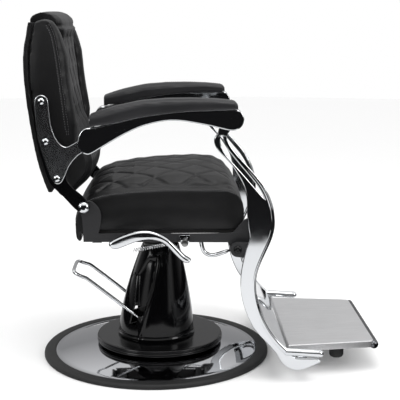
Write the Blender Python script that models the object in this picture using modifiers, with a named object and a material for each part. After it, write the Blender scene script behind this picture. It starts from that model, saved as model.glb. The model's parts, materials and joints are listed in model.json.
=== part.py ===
"""Hydraulic barber chair, modelled in metres.

Frame: +X points to the front of the chair, +Y to the sitter's left and +Z up.
The origin lies on the floor, on the axis of the hydraulic column.
Every sub-part is one closed solid. Pieces that move together hang from an empty
that stands on the axis of their joint.
"""

from math import cos, pi, radians, sin, sqrt

import bmesh
import bpy
from mathutils import Matrix, Vector

# ---------------------------------------------------------------- sizes
GAP = 0.0003                 # air left between pieces that touch
RUNNING_GAP = 0.0010         # air between a bore and the shaft that turns in it

# Base and hydraulic column
BASE_RADIUS = 0.330          # over the rubber rim
RIM_WIDTH = 0.034
RIM_HEIGHT = 0.014
DISC_CROWN = 0.036           # height of the chromed disc at its middle
FLANGE_RADIUS = 0.185
FLANGE_HEIGHT = 0.0205
FLANGE_SHIFT = 0.010         # the flange stands this far ahead of the column
COVER_FOOT_RADIUS = 0.112
COVER_TOP = 0.322
COVER_LEAN = 0.014           # the cover's top stands this far ahead of its foot
COVER_TOP_RADIUS = 0.056
COVER_WALL = 0.003
COVER_COLLAR = 0.004         # upright foot of the cover
COVER_TAPER = 1.55           # how the cover narrows: as this power of the height
COVER_NARROWNESS = 0.97      # its width over its length
CYLINDER_RADIUS = 0.034
CYLINDER_WALL = 0.0095
RESERVOIR_RADIUS = 0.056
RESERVOIR_HEIGHT = 0.090

# Foot pedal
PEDAL_AXIS = (-0.020, 0.098)             # x, z
PEDAL_HALF_WIDTH = 0.078
PEDAL_SLOT_TOP = 0.158        # the slot leaves room for the pedal's 16 degrees
PEDAL_ROD_RADIUS = 0.0058
PEDAL_PIN_RADIUS = 0.006

# Seat
SEAT_HALF_WIDTH = 0.250      # cushion
SEAT_BACK_X = -0.2165
SEAT_FRONT_X = 0.243
SEAT_SEAM_Z = 0.532          # top of the upright side of the cushion
SEAT_CROWN_Z = 0.571
FRAME_BOTTOM_Z = 0.385
FRAME_TOP_Z = 0.411
BOARD_THICKNESS = 0.012
SPIDER_REAR_X = (-0.165, -0.140)          # the spider's rear bar, back to front
SPIDER_FRONT_X = (0.175, 0.200)
PLATE_THICKNESS = 0.006      # side plates, hinges and brackets
FRAME_Y = SEAT_HALF_WIDTH + 0.0035 + PLATE_THICKNESS / 2

# Linkage: the four pivots of one side, as x, z
BACK_PIVOT = (-0.185, 0.484)
ARM_REAR_PIVOT = (-0.178, 0.653)
ARM_FRONT_PIVOT = (0.188, 0.707)
FOOT_PIVOT = (0.220, 0.370)
HINGE_Y = FRAME_Y + PLATE_THICKNESS + 0.003
BRACKET_Y = HINGE_Y + PLATE_THICKNESS + 0.0005
PIVOT_HEAD_RADIUS = 0.0145
PIVOT_SHANK_RADIUS = 0.006
LINK_CLEARANCE = 0.0045      # room round the front pin of the armrest

# Back
BACK_HALF_WIDTH = SEAT_HALF_WIDTH
BACK_CENTRE_HALF_WIDTH = 0.189
BACK_PANEL_THICKNESS = 0.014
BRACKET_BOLTS = ((-0.287, 0.763), (-0.279, 0.659), (-0.252, 0.562))

# Armrests
ARM_Y = FRAME_Y + 0.0405
ARM_WIDTH = 0.036
PAD_WIDTH = 0.074
PAD_HEIGHTS = (0.034, 0.042, 0.040, 0.035, 0.031, 0.027, 0.022, 0.016)   # rear to front

# Legs and footrest
LEG_WIDTH = 0.030
LEG_Y = FRAME_Y + 0.0285
TONGUE_WIDTH = 0.013
TONGUE_RADIUS = 0.020
FOOTPLATE_BACK_X = 0.364
FOOTPLATE_FRONT_X = 0.622
FOOTPLATE_TOP_Z = 0.088
FOOTPLATE_THICKNESS = 0.020
FOOTPLATE_BACK_HALF_WIDTH = 0.235
FOOTPLATE_FRONT_HALF_WIDTH = 0.205
KICK_THICKNESS = 0.004

# Recline lock and its lever
LOCK_Y = -0.120
LOCK_RADIUS = 0.010
LOCK_ROD_RADIUS = 0.0042
CRANK_RADIUS = 0.0255        # from the footrest shaft up to the lock's rod
LEVER_PIVOT = (0.080, 0.391)
LEVER_Y = -(FRAME_Y + 0.0435)
SPRING_Y = -(FRAME_Y + 0.0115)
SPRING_ANCHOR = (0.040, 0.385)
SPRING_END = (-0.056, 0.367)
SPRING_RADIUS = 0.0055

SIDES = (("left", 1.0), ("right", -1.0))
COLLECTION_NAME = "barber_chair"


# ---------------------------------------------------------------- scene
def clear_scene():
    """Remove what the start file holds."""
    for thing in list(bpy.data.objects):
        bpy.data.objects.remove(thing, do_unlink=True)


def collection(name):
    """Return a new collection linked to the scene."""
    group = bpy.data.collections.new(name)
    bpy.context.scene.collection.children.link(group)
    return group


clear_scene()
PARTS = collection(COLLECTION_NAME)
CUTTERS = collection("cutters")


def finish(name, colour, roughness, metallic=0.0):
    """Make a plain material from an RGB colour."""
    material = bpy.data.materials.new(name)
    material.use_nodes = True
    shader = material.node_tree.nodes["Principled BSDF"]
    shader.inputs["Base Color"].default_value = (*colour, 1.0)
    shader.inputs["Roughness"].default_value = roughness
    shader.inputs["Metallic"].default_value = metallic
    material.diffuse_color = (*colour, 1.0)
    return material


CHROME = finish("chrome", (0.72, 0.73, 0.75), 0.08, 1.0)
DISC_CHROME = finish("disc chrome", (0.45, 0.45, 0.47), 0.10, 1.0)
STEEL = finish("machined steel", (0.45, 0.45, 0.46), 0.35, 1.0)
BRUSHED = finish("brushed aluminium", (0.62, 0.62, 0.63), 0.38, 1.0)
FRAME_PAINT = finish("satin frame paint", (0.045, 0.045, 0.048), 0.45)
GLOSS_BLACK = finish("gloss black cover", (0.006, 0.006, 0.007), 0.10)
CAST_IRON = finish("painted casting", (0.03, 0.03, 0.03), 0.55)
RUBBER = finish("rubber", (0.012, 0.012, 0.012), 0.65)
LEATHER = finish("black leather", (0.018, 0.018, 0.019), 0.42)
PAD_LEATHER = finish("armrest leather", (0.035, 0.035, 0.037), 0.45)
PLYWOOD = finish("plywood", (0.42, 0.28, 0.15), 0.70)


# ---------------------------------------------------------------- shapes
def add(name, data, material, group=PARTS):
    """Put mesh or curve data in the scene as a named object."""
    thing = bpy.data.objects.new(name, data)
    data.materials.append(material)
    group.objects.link(thing)
    return thing


def from_bmesh(name, mesh, material, group=PARTS):
    """Turn a bmesh into an object whose round parts are shaded smooth."""
    bmesh.ops.recalc_face_normals(mesh, faces=mesh.faces)
    data = bpy.data.meshes.new(name)
    mesh.to_mesh(data)
    mesh.free()
    data.shade_smooth()
    data.set_sharp_from_angle(angle=radians(35))
    return add(name, data, material, group)


def as_cutter(thing):
    """Move an object to the cutters, where it is not part of the model."""
    for group in list(thing.users_collection):
        group.objects.unlink(thing)
    CUTTERS.objects.link(thing)
    thing.hide_render = True
    thing.display_type = "WIRE"


def combine(thing, other, operation):
    """Cut or join a mesh object with another one, which becomes a cutter."""
    as_cutter(other)
    modifier = thing.modifiers.new(other.name, "BOOLEAN")
    modifier.operation = operation
    modifier.solver = "EXACT"
    modifier.object = other
    return thing


def cut(thing, *others):
    """Cut the other objects out of one object."""
    for other in others:
        combine(thing, other, "DIFFERENCE")
    return thing


def join(thing, *others):
    """Weld the other objects to one object."""
    for other in others:
        combine(thing, other, "UNION")
    return thing


def box(name, low, high, material):
    """Make a box between two corners, with its origin at its middle."""
    mesh = bmesh.new()
    bmesh.ops.create_cube(mesh, size=1.0)
    size = Vector(high) - Vector(low)
    bmesh.ops.scale(mesh, vec=size, verts=mesh.verts)
    thing = from_bmesh(name, mesh, material)
    thing.location = (Vector(high) + Vector(low)) / 2
    return thing


def cylinder(name, radius, start, end, material, segments=32):
    """Make a cylinder between two points."""
    start = Vector(start)
    end = Vector(end)
    mesh = bmesh.new()
    bmesh.ops.create_cone(mesh, cap_ends=True, segments=segments, radius1=radius,
                          radius2=radius, depth=(end - start).length)
    thing = from_bmesh(name, mesh, material)
    thing.location = (start + end) / 2
    thing.rotation_euler = (end - start).to_track_quat("Z", "Y").to_euler()
    return thing


def turned(name, profile, material, segments=48, ring=False):
    """Turn a profile of (radius, height) round Z; it runs down the outer side."""
    data = bpy.data.meshes.new(name)
    edges = [(i, i + 1) for i in range(len(profile) - 1)]
    if ring:
        edges.append((len(profile) - 1, 0))
    data.from_pydata([(radius, 0.0, height) for radius, height in profile], edges, [])
    thing = add(name, data, material)
    screw = thing.modifiers.new("turn", "SCREW")
    screw.steps = segments
    screw.render_steps = segments
    screw.use_merge_vertices = True
    screw.merge_threshold = 0.00001
    screw.use_smooth_shade = False
    return thing


def across(thing, x, z, y, side):
    """Lay a turned piece along Y, its +Z end facing away from the chair."""
    thing.location = (x, y * side, z)
    thing.rotation_euler = (-side * pi / 2, 0.0, 0.0)
    return thing


def smoothed(points, steps=4, closed=True):
    """Run a Catmull-Rom curve through points of any dimension."""
    points = [Vector(p) for p in points]
    count = len(points)
    result = []
    for i in range(count if closed else count - 1):
        if closed:
            a, b, c, d = (points[(i + k - 1) % count] for k in range(4))
        else:
            b, c = points[i], points[i + 1]
            a = points[i - 1] if i > 0 else b
            d = points[i + 2] if i + 2 < count else c
        for k in range(steps):
            t = k / steps
            result.append(0.5 * (2 * b + (c - a) * t + (2 * a - 5 * b + 4 * c - d) * t**2
                                 + (3 * b - a - 3 * c + d) * t**3))
    if not closed:
        result.append(points[-1])
    return [tuple(p) for p in result]


def circle(centre, radius, steps=14, start=0.0, end=2 * pi):
    """Return points on a circle, or on an arc that includes both its ends."""
    whole = abs(end - start - 2 * pi) < 1e-9
    last = steps if whole else steps + 1
    return [(centre[0] + radius * cos(start + (end - start) * i / steps),
             centre[1] + radius * sin(start + (end - start) * i / steps))
            for i in range(last)]


def as_mesh(curve):
    """Replace a curve object with a welded mesh object of the same shape."""
    bpy.context.view_layer.update()
    evaluated = curve.evaluated_get(bpy.context.evaluated_depsgraph_get())
    data = bpy.data.meshes.new_from_object(evaluated)
    mesh = bmesh.new()
    mesh.from_mesh(data)
    bmesh.ops.remove_doubles(mesh, verts=mesh.verts, dist=0.00001)
    bmesh.ops.recalc_face_normals(mesh, faces=mesh.faces)
    mesh.to_mesh(data)
    mesh.free()
    data.shade_smooth()
    data.set_sharp_from_angle(angle=radians(35))
    name = curve.name
    place = curve.matrix_world.copy()
    bpy.data.objects.remove(curve, do_unlink=True)
    thing = bpy.data.objects.new(name, data)
    thing.matrix_world = place
    PARTS.objects.link(thing)
    return thing


def plate(name, outline, thickness, y, material, holes=()):
    """Make a flat plate upright in XZ from an outline of (x, z), centred on y."""
    data = bpy.data.curves.new(name, "CURVE")
    data.dimensions = "2D"
    data.fill_mode = "BOTH"
    data.extrude = thickness / 2
    for loop in (outline, *holes):
        spline = data.splines.new("POLY")
        spline.points.add(len(loop) - 1)
        for point, (x, z) in zip(spline.points, loop):
            point.co = (x, z, 0.0, 1.0)
        spline.use_cyclic_u = True
    thing = add(name, data, material)
    thing.location = (0.0, y, 0.0)
    thing.rotation_euler = (pi / 2, 0.0, 0.0)
    return as_mesh(thing)


def tube(name, points, radius, material, resolution=2):
    """Make a bent round bar through points in space."""
    data = bpy.data.curves.new(name, "CURVE")
    data.dimensions = "3D"
    data.bevel_depth = radius
    data.bevel_resolution = resolution
    data.use_fill_caps = True
    spline = data.splines.new("POLY")
    spline.points.add(len(points) - 1)
    for point, place in zip(spline.points, points):
        point.co = (*place, 1.0)
    return as_mesh(add(name, data, material))


def loft(name, sections, material, capped=True):
    """Skin equal loops of points in space, and close both ends."""
    mesh = bmesh.new()
    rows = [[mesh.verts.new(point) for point in section] for section in sections]
    count = len(rows[0])
    for lower, upper in zip(rows, rows[1:]):
        for i in range(count):
            j = (i + 1) % count
            mesh.faces.new((lower[i], lower[j], upper[j], upper[i]))
    if capped:
        mesh.faces.new(rows[0])
        mesh.faces.new(list(reversed(rows[-1])))
    return from_bmesh(name, mesh, material)


def bolt(name, x, z, inner_y, head_y, side, head_radius, shank_radius, head_height, material):
    """Make a domed bolt along Y: its shank runs from inner_y to the head."""
    length = head_y - inner_y
    profile = [(0.0, length + head_height), (head_radius * 0.6, length + head_height * 0.9),
               (head_radius, length + head_height * 0.35), (head_radius, length),
               (shank_radius, length), (shank_radius, 0.0), (0.0, 0.0)]
    return across(turned(name, profile, material, segments=14), x, z, inner_y, side)


# ---------------------------------------------------------------- base
def build_base():
    """Model the fixed base: disc, rim, flange, column cover and pump."""
    inner = BASE_RADIUS - RIM_WIDTH
    disc_edge = inner - GAP
    fall = DISC_CROWN - 0.010
    slope = [(disc_edge * t, DISC_CROWN - fall * t**3) for t in (0.60, 0.75, 0.87, 0.95, 1.0)]
    disc = turned("base_disc", [(0.0, DISC_CROWN), *slope, (disc_edge, 0.0), (0.0, 0.0)],
                  DISC_CHROME, segments=60)
    rim_profile = [(inner, RIM_HEIGHT * 0.85), (inner + 0.006, RIM_HEIGHT),
                   (BASE_RADIUS - 0.008, RIM_HEIGHT * 0.9), (BASE_RADIUS, RIM_HEIGHT * 0.45),
                   (BASE_RADIUS - 0.001, 0.0), (inner, 0.0)]
    rim = turned("base_rubber_rim", rim_profile, RUBBER, segments=60, ring=True)

    seat_z = DISC_CROWN + GAP
    top_z = seat_z + FLANGE_HEIGHT
    flange_bore = RESERVOIR_RADIUS + FLANGE_SHIFT + 0.006
    flange_profile = [(FLANGE_RADIUS - 0.012, top_z), (FLANGE_RADIUS - 0.004, top_z - 0.004),
                      (FLANGE_RADIUS - 0.004, seat_z + 0.008), (FLANGE_RADIUS, seat_z + 0.006),
                      (FLANGE_RADIUS, seat_z + 0.001), (FLANGE_RADIUS - 0.001, seat_z),
                      (flange_bore, seat_z), (flange_bore, top_z)]
    flange = turned("base_flange", flange_profile, GLOSS_BLACK, segments=48, ring=True)
    flange.location.x = FLANGE_SHIFT

    pieces = [disc, rim, flange, build_cover(top_z + GAP), *build_pump(seat_z)]
    return pieces


def build_cover(foot_z):
    """Model the tapered cover of the column, open below, with slots for the pedal."""
    foot = circle((0.0, 0.0), COVER_FOOT_RADIUS, steps=32)
    sections = [[(x, y * COVER_NARROWNESS, foot_z) for x, y in foot]]
    shoulder_z = foot_z + COVER_COLLAR
    levels = 7
    for i in range(levels):
        t = i / (levels - 1)
        z = shoulder_z + (COVER_TOP - shoulder_z) * t
        narrowing = t**COVER_TAPER
        radius = COVER_FOOT_RADIUS + (COVER_TOP_RADIUS - COVER_FOOT_RADIUS) * narrowing
        loop = circle((COVER_LEAN * narrowing, 0.0), radius, steps=32)
        sections.append([(x, y * COVER_NARROWNESS, z) for x, y in loop])
    cover = loft("column_cover", sections, GLOSS_BLACK, capped=False)
    shell = cover.modifiers.new("wall", "SOLIDIFY")
    shell.thickness = COVER_WALL
    shell.offset = -1.0
    reach = PEDAL_ROD_RADIUS + 0.004
    for side_name, side in SIDES:
        middle = PEDAL_HALF_WIDTH * side
        slot = box("pedal_slot_" + side_name, (-0.140, middle - reach, PEDAL_AXIS[1] - 0.010),
                   (-0.030, middle + reach, PEDAL_SLOT_TOP), GLOSS_BLACK)
        cut(cover, slot)
    return cover


def build_pump(seat_z):
    """Model the pump inside the cover: cylinder, reservoir, cap and pedal pins."""
    bore = CYLINDER_RADIUS - CYLINDER_WALL
    cylinder_top = COVER_TOP - 0.006
    tank = turned("pump_cylinder", [(bore, cylinder_top), (CYLINDER_RADIUS, cylinder_top),
                                    (CYLINDER_RADIUS, seat_z), (0.0, seat_z), (0.0, seat_z + 0.008),
                                    (bore, seat_z + 0.008)], STEEL, segments=28, ring=False)
    close_profile(tank)
    tank_gap = CYLINDER_RADIUS + GAP
    reservoir_top = seat_z + RESERVOIR_HEIGHT
    reservoir = turned("pump_reservoir", [(RESERVOIR_RADIUS - 0.004, reservoir_top),
                                          (RESERVOIR_RADIUS, reservoir_top - 0.004),
                                          (RESERVOIR_RADIUS, seat_z), (tank_gap, seat_z),
                                          (tank_gap, reservoir_top)], CAST_IRON, segments=28, ring=True)
    x, z = PEDAL_AXIS
    lug_end = PEDAL_HALF_WIDTH - PEDAL_ROD_RADIUS - 0.006
    lug_start = RESERVOIR_RADIUS - 0.008
    pieces = [tank, reservoir]
    for side_name, side in SIDES:
        lug = cylinder("pedal_lug_" + side_name, 0.014, (x, lug_start * side, z),
                       (x, lug_end * side, z), CAST_IRON, segments=16)
        bore_hole = cylinder("pedal_pin_hole_" + side_name, PEDAL_PIN_RADIUS + GAP,
                             (x, (lug_start + 0.004) * side, z), (x, (lug_end + 0.01) * side, z),
                             CAST_IRON, segments=16)
        join(reservoir, lug)
        cut(reservoir, bore_hole)
        head_y = PEDAL_HALF_WIDTH + 0.0075
        pin = bolt("pedal_pin_" + side_name, x, z, lug_start + 0.005, head_y, side, 0.010,
                   PEDAL_PIN_RADIUS, 0.004, STEEL)
        pieces.append(pin)
    cap_bottom = cylinder_top + GAP
    cap = turned("cylinder_cap", [(bore, cap_bottom + 0.009), (CYLINDER_RADIUS, cap_bottom + 0.009),
                                  (CYLINDER_RADIUS + 0.002, cap_bottom + 0.006),
                                  (CYLINDER_RADIUS + 0.002, cap_bottom), (bore, cap_bottom)],
                 STEEL, segments=28, ring=True)
    pieces.append(cap)
    return pieces


def close_profile(thing):
    """Join a turned profile's last point to its first."""
    data = thing.data
    data.edges.add(1)
    data.edges[-1].vertices = (len(data.vertices) - 1, 0)


# ---------------------------------------------------------------- pedal
def build_pedal():
    """Model the pump pedal: a loop of bar whose two eyes turn on the pins."""
    x, z = PEDAL_AXIS
    w = PEDAL_HALF_WIDTH
    bar = (-0.234, 0.256)
    bend = (-0.216, 0.2475)
    shoulder = (-0.196, 0.241)
    route = [(x, w, z), (shoulder[0], w, shoulder[1]), (bend[0], w * 0.97, bend[1]),
             (bar[0], w * 0.78, bar[1]), (bar[0] - 0.002, 0.0, bar[1] + 0.001),
             (bar[0], -w * 0.78, bar[1]), (bend[0], -w * 0.97, bend[1]),
             (shoulder[0], -w, shoulder[1]), (x, -w, z)]
    middle = smoothed(route[1:-1], steps=4, closed=False)
    loop = tube("pedal_loop", [route[0], *middle, route[-1]], PEDAL_ROD_RADIUS, CHROME)
    reach = PEDAL_ROD_RADIUS + 0.0012
    for side_name, side in SIDES:
        eye = cylinder("pedal_eye_" + side_name, 0.013, (x, (w - reach) * side, z),
                       (x, (w + reach) * side, z), CHROME, segments=18)
        hole = cylinder("pedal_eye_hole_" + side_name, PEDAL_PIN_RADIUS + RUNNING_GAP,
                        (x, (w - 0.02) * side, z), (x, (w + 0.02) * side, z), CHROME, segments=18)
        join(loop, eye)
        cut(loop, hole)
    return [loop]


# ---------------------------------------------------------------- lift
def ram_top():
    """Return the height of the top of the ram, inside the seat's spider."""
    return FRAME_BOTTOM_Z - 0.008


def build_lift():
    """Model the ram that the pump raises, and the ring that the seat turns on."""
    ram_radius = CYLINDER_RADIUS - CYLINDER_WALL - RUNNING_GAP
    ring_z = COVER_TOP + 0.008
    ram = turned("lift_ram", [(0.0, ram_top()), (ram_radius - 0.002, ram_top()),
                              (ram_radius, ram_top() - 0.002), (ram_radius, 0.060), (0.0, 0.060)],
                 CHROME, segments=28)
    ring = turned("swivel_bearing", [(ram_radius + GAP, ring_z + 0.007), (0.040, ring_z + 0.007),
                                     (0.040, ring_z), (ram_radius + GAP, ring_z)],
                  STEEL, segments=28, ring=True)
    return [ram, ring]


# ---------------------------------------------------------------- seat
def build_seat():
    """Model what turns with the seat: spider, frame, cushion and fixed fittings."""
    pieces = [build_spider(), build_board(), build_seat_cushion()]
    for side_name, side in SIDES:
        pieces.append(build_frame_side(side_name, side))
        pieces.append(build_front_rod(side_name, side))
        x, z = BACK_PIVOT
        head_y = HINGE_Y + PLATE_THICKNESS / 2 + GAP
        inner_y = FRAME_Y - PLATE_THICKNESS / 2 - 0.002
        pieces.append(bolt("back_pivot_bolt_" + side_name, x, z, inner_y, head_y, side,
                           PIVOT_HEAD_RADIUS, PIVOT_SHANK_RADIUS, 0.009, CHROME))
    pieces.extend(build_lever_fittings())
    pieces.append(build_lock())
    return pieces


def spider_bottom():
    """Return the height of the underside of the spider's hub."""
    return COVER_TOP + 0.015 + GAP


def build_spider():
    """Model the casting that carries the seat frame on the ram."""
    ram_radius = CYLINDER_RADIUS - CYLINDER_WALL - RUNNING_GAP
    plate_low = FRAME_BOTTOM_Z + GAP
    plate_high = plate_low + 0.007
    hub = turned("seat_spider", [(0.0, plate_high + 0.003), (0.060, plate_high + 0.003),
                                 (0.060, plate_low - 0.002),
                                 (0.040, spider_bottom() + 0.006), (0.040, spider_bottom()),
                                 (ram_radius + GAP, spider_bottom()),
                                 (ram_radius + GAP, ram_top() + 0.004),
                                 (0.0, ram_top() + 0.004)], CAST_IRON, segments=28)
    inside = FRAME_Y - PLATE_THICKNESS / 2 - GAP
    cross_high = plate_low + 0.022
    rear, front = SPIDER_REAR_X, SPIDER_FRONT_X
    bars = [box("spider_keel", (rear[1] - 0.010, -0.045, plate_low + 0.001),
                (front[0] + 0.010, 0.045, plate_high), CAST_IRON),
            box("spider_rear_bar", (rear[0], -inside, plate_low), (rear[1], inside, cross_high), CAST_IRON),
            box("spider_front_bar", (front[0], -inside, plate_low), (front[1], inside, cross_high),
                CAST_IRON)]
    join(hub, *bars)
    rod_hole = cylinder("spider_rod_hole", LOCK_ROD_RADIUS + 0.003, (front[0] - 0.010, LOCK_Y, lock_height()),
                        (front[1] + 0.010, LOCK_Y, lock_height()), CAST_IRON, segments=16)
    return cut(hub, rod_hole)


def board_bottom():
    """Return the height of the underside of the seat board."""
    return FRAME_BOTTOM_Z + 0.0226


def build_board():
    """Model the plywood board under the cushion."""
    half = SEAT_HALF_WIDTH - 0.006
    low = board_bottom() + GAP
    board = box("seat_board", (SEAT_BACK_X + 0.022, -half, low),
                (SEAT_FRONT_X - 0.022, half, low + BOARD_THICKNESS), PLYWOOD)
    return board


def build_seat_cushion():
    """Model the seat cushion: upright sides and a crowned top."""
    low = board_bottom() + BOARD_THICKNESS + 2 * GAP
    rise = SEAT_CROWN_Z - SEAT_SEAM_Z
    back, front, top = SEAT_BACK_X, SEAT_FRONT_X, SEAT_CROWN_Z
    lip = FRAME_BOTTOM_Z + 0.002
    crown = [(back + 0.021, low), (back + 0.021, lip + 0.003), (back + 0.010, lip),
             (back + 0.003, lip + 0.014), (back, 0.440), (back + 0.006, 0.476), (back + 0.016, 0.497),
             (back + 0.030, 0.515), (back + 0.052, 0.531), (back + 0.095, 0.547),
             (back + 0.165, top - 0.011), (0.030, top - 0.003), (0.110, top), (0.165, top - 0.002),
             (front - 0.045, top - 0.011), (front - 0.019, top - 0.036),
             (front - 0.004, 0.506), (front, 0.476), (front - 0.003, 0.450), (front - 0.017, low)]
    seam_drop = [0.0, 0.0, 0.0, 0.0, 0.0, 0.10, 0.22, 0.36, 0.52, 0.66, 0.78, 0.90, 1.0, 0.98, 0.80,
                 0.45, 0.18, 0.05, 0.0, 0.0]
    sections = []
    stations = 9
    for i in range(stations):
        share = -1.0 + 2.0 * i / (stations - 1)
        y = SEAT_HALF_WIDTH * sin(share * pi / 2)
        edge = abs(y / SEAT_HALF_WIDTH) ** 3
        sections.append([(x, y, z - rise * drop * edge)
                         for (x, z), drop in zip(crown, seam_drop)])
    return loft("seat_cushion", sections, LEATHER)


def build_frame_side(side_name, side):
    """Model a side plate of the seat frame, from the back pivot to the foot pivot."""
    bx, bz = BACK_PIVOT
    fx, fz = FOOT_PIVOT
    rear = [(bx - 0.003, FRAME_BOTTOM_Z + 0.004), (bx - 0.006, bz - 0.032), (bx - 0.012, bz - 0.006),
            (bx - 0.008, bz + 0.010), (bx + 0.006, bz + 0.015), (bx + 0.022, bz + 0.013),
            (bx + 0.037, bz - 0.001), (bx + 0.045, bz - 0.022), (bx + 0.043, bz - 0.050)]
    lobe = smoothed(rear, steps=3, closed=False)
    front = [(0.200, FRAME_TOP_Z), (0.222, FRAME_TOP_Z + 0.018), (0.240, FRAME_TOP_Z + 0.036),
             (0.251, FRAME_TOP_Z + 0.022), (0.253, FRAME_BOTTOM_Z), (fx + 0.022, fz + 0.010)]
    nose = circle((fx, fz), 0.021, steps=8, start=radians(10), end=radians(-190))
    outline = [*lobe, (bx + 0.037, FRAME_TOP_Z), *front, *nose, (fx - 0.025, FRAME_BOTTOM_Z)]
    holes = [circle(BACK_PIVOT, PIVOT_SHANK_RADIUS + GAP), circle(FOOT_PIVOT, 0.0075 + RUNNING_GAP)]
    return plate("frame_side_" + side_name, outline, PLATE_THICKNESS, FRAME_Y * side, FRAME_PAINT, holes)


def build_front_rod(side_name, side):
    """Model the bent stay between the seat's underside and the front bracket."""
    fx, fz = FOOT_PIVOT
    y = (FRAME_Y - 0.014) * side
    top = board_bottom() - GAP
    route = [(fx - 0.096, y, top), (fx - 0.095, y, fz + 0.010), (fx - 0.088, y, fz - 0.013),
             (fx - 0.072, y, fz - 0.023), (fx - 0.054, y, fz - 0.022), (fx - 0.0150, y, fz - 0.009)]
    points = smoothed(route, steps=4, closed=False)
    return tube("front_rod_" + side_name, points, 0.0062, CHROME)


def build_lever_fittings():
    """Model the bracket that the recline lever turns on."""
    x, z = LEVER_PIVOT
    outline = [(x - 0.014, FRAME_TOP_Z - 0.004), (x + 0.014, FRAME_TOP_Z - 0.004),
               *circle(LEVER_PIVOT, 0.012, steps=8, start=0.0, end=-pi)]
    y = -(FRAME_Y + PLATE_THICKNESS + 0.0030)
    bracket = plate("lever_bracket", outline, PLATE_THICKNESS, y, CHROME,
                    [circle(LEVER_PIVOT, 0.004 + GAP, steps=16)])
    return [bracket]


def lock_height():
    """Return the height of the lock's axis, at the top of the crank."""
    return FOOT_PIVOT[1] + CRANK_RADIUS


def build_lock():
    """Model the cylinder that locks the recline, slung under the seat board."""
    z = lock_height()
    body = cylinder("recline_lock", LOCK_RADIUS, (-0.010, LOCK_Y, z), (0.110, LOCK_Y, z), STEEL,
                    segments=18)
    tail = cylinder("lock_tail", LOCK_RADIUS * 0.6, (SPIDER_REAR_X[1] + GAP, LOCK_Y, z), (0.0, LOCK_Y, z),
                    STEEL, segments=16)
    bore = cylinder("lock_bore", LOCK_ROD_RADIUS + RUNNING_GAP, (0.004, LOCK_Y, z), (0.130, LOCK_Y, z),
                    STEEL, segments=16)
    join(body, tail)
    return cut(body, bore)


def build_lock_rod():
    """Model the lock's rod, which the crank of the footrest shaft draws out."""
    z = lock_height()
    crank_x = crank_end()[0]
    rod = cylinder("lock_rod", LOCK_ROD_RADIUS, (0.030, LOCK_Y, z), (crank_x - 0.008, LOCK_Y, z), CHROME,
                   segments=16)
    eye = cylinder("lock_rod_eye", 0.0105, (crank_x, LOCK_Y - 0.004, z), (crank_x, LOCK_Y + 0.004, z),
                   CHROME, segments=16)
    hole = cylinder("lock_rod_hole", 0.0040 + 0.0016, (crank_x, LOCK_Y - 0.01, z),
                    (crank_x, LOCK_Y + 0.01, z), CHROME, segments=16)
    join(rod, eye)
    return cut(rod, hole)


def crank_end():
    """Return the crank pin's place (x, z); the crank leans back half its swing at rest."""
    lean = radians(8.5)
    return (FOOT_PIVOT[0] + CRANK_RADIUS * sin(lean), FOOT_PIVOT[1] + CRANK_RADIUS * cos(lean))


# ---------------------------------------------------------------- back
def back_rear_line():
    """Return the rear face of the back from top to bottom as (x, z)."""
    return [(-0.319, 0.952), (-0.333, 0.900), (-0.337, 0.840), (-0.334, 0.780), (-0.327, 0.718),
            (-0.317, 0.650), (-0.303, 0.585), (-0.281, 0.520)]


def build_back():
    """Model the back: panel, cushions, hinges, brackets and their bolts."""
    rear = smoothed(back_rear_line(), steps=2, closed=False)
    middle = [(x + BACK_PANEL_THICKNESS, z) for x, z in rear]
    panel = plate("back_panel", [*rear, *reversed(middle)], 2 * (BACK_HALF_WIDTH - 0.002), 0.0, LEATHER)
    pieces = [panel, build_back_cushion()]
    for side_name, side in SIDES:
        pieces.append(build_bolster(side_name, side))
        pieces.append(build_hinge(side_name, side))
        pieces.append(build_bracket(side_name, side))
        for number, (x, z) in enumerate(BRACKET_BOLTS, start=1):
            head_y = BRACKET_Y + PLATE_THICKNESS / 2 + GAP
            pieces.append(bolt(f"bracket_bolt_{side_name}_{number}", x, z, BACK_HALF_WIDTH + 0.001,
                               head_y, side, 0.0085, 0.004, 0.005, CHROME))
    return pieces


def build_back_cushion():
    """Model the middle cushion of the back, with its lumbar roll."""
    back_line = [(x + BACK_PANEL_THICKNESS + GAP, z) for x, z in back_rear_line()]
    panel_top = back_rear_line()[0][1]
    top = [(back_line[0][0], panel_top + 0.0035), (-0.326, panel_top + 0.005), (-0.328, 0.968),
           (-0.321, 0.981), (-0.308, 0.987), (-0.288, 0.990), (-0.268, 0.990), (-0.252, 0.985),
           (-0.238, 0.972)]
    front = [(-0.230, 0.938), (-0.224, 0.870), (-0.216, 0.800), (-0.206, 0.730), (-0.193, 0.670),
             (-0.174, 0.630), (-0.163, 0.598), (-0.165, 0.568), (-0.180, 0.545), (-0.196, 0.527),
             (-0.206, 0.511), (-0.222, 0.499), (-0.250, 0.500)]
    outline = [*top, *front, *reversed(back_line)]
    sections = []
    stations = 7
    for i in range(stations):
        share = -1.0 + 2.0 * i / (stations - 1)
        y = BACK_CENTRE_HALF_WIDTH * sin(share * pi / 2)
        pull = 0.014 * abs(share) ** 4
        loop = []
        for index, (x, z) in enumerate(outline):
            on_front = index < len(top) + len(front) - 1
            loop.append((x - (pull if on_front and x > -0.30 else 0.0), y, z))
        sections.append(loop)
    return loft("back_cushion", sections, LEATHER)


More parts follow.
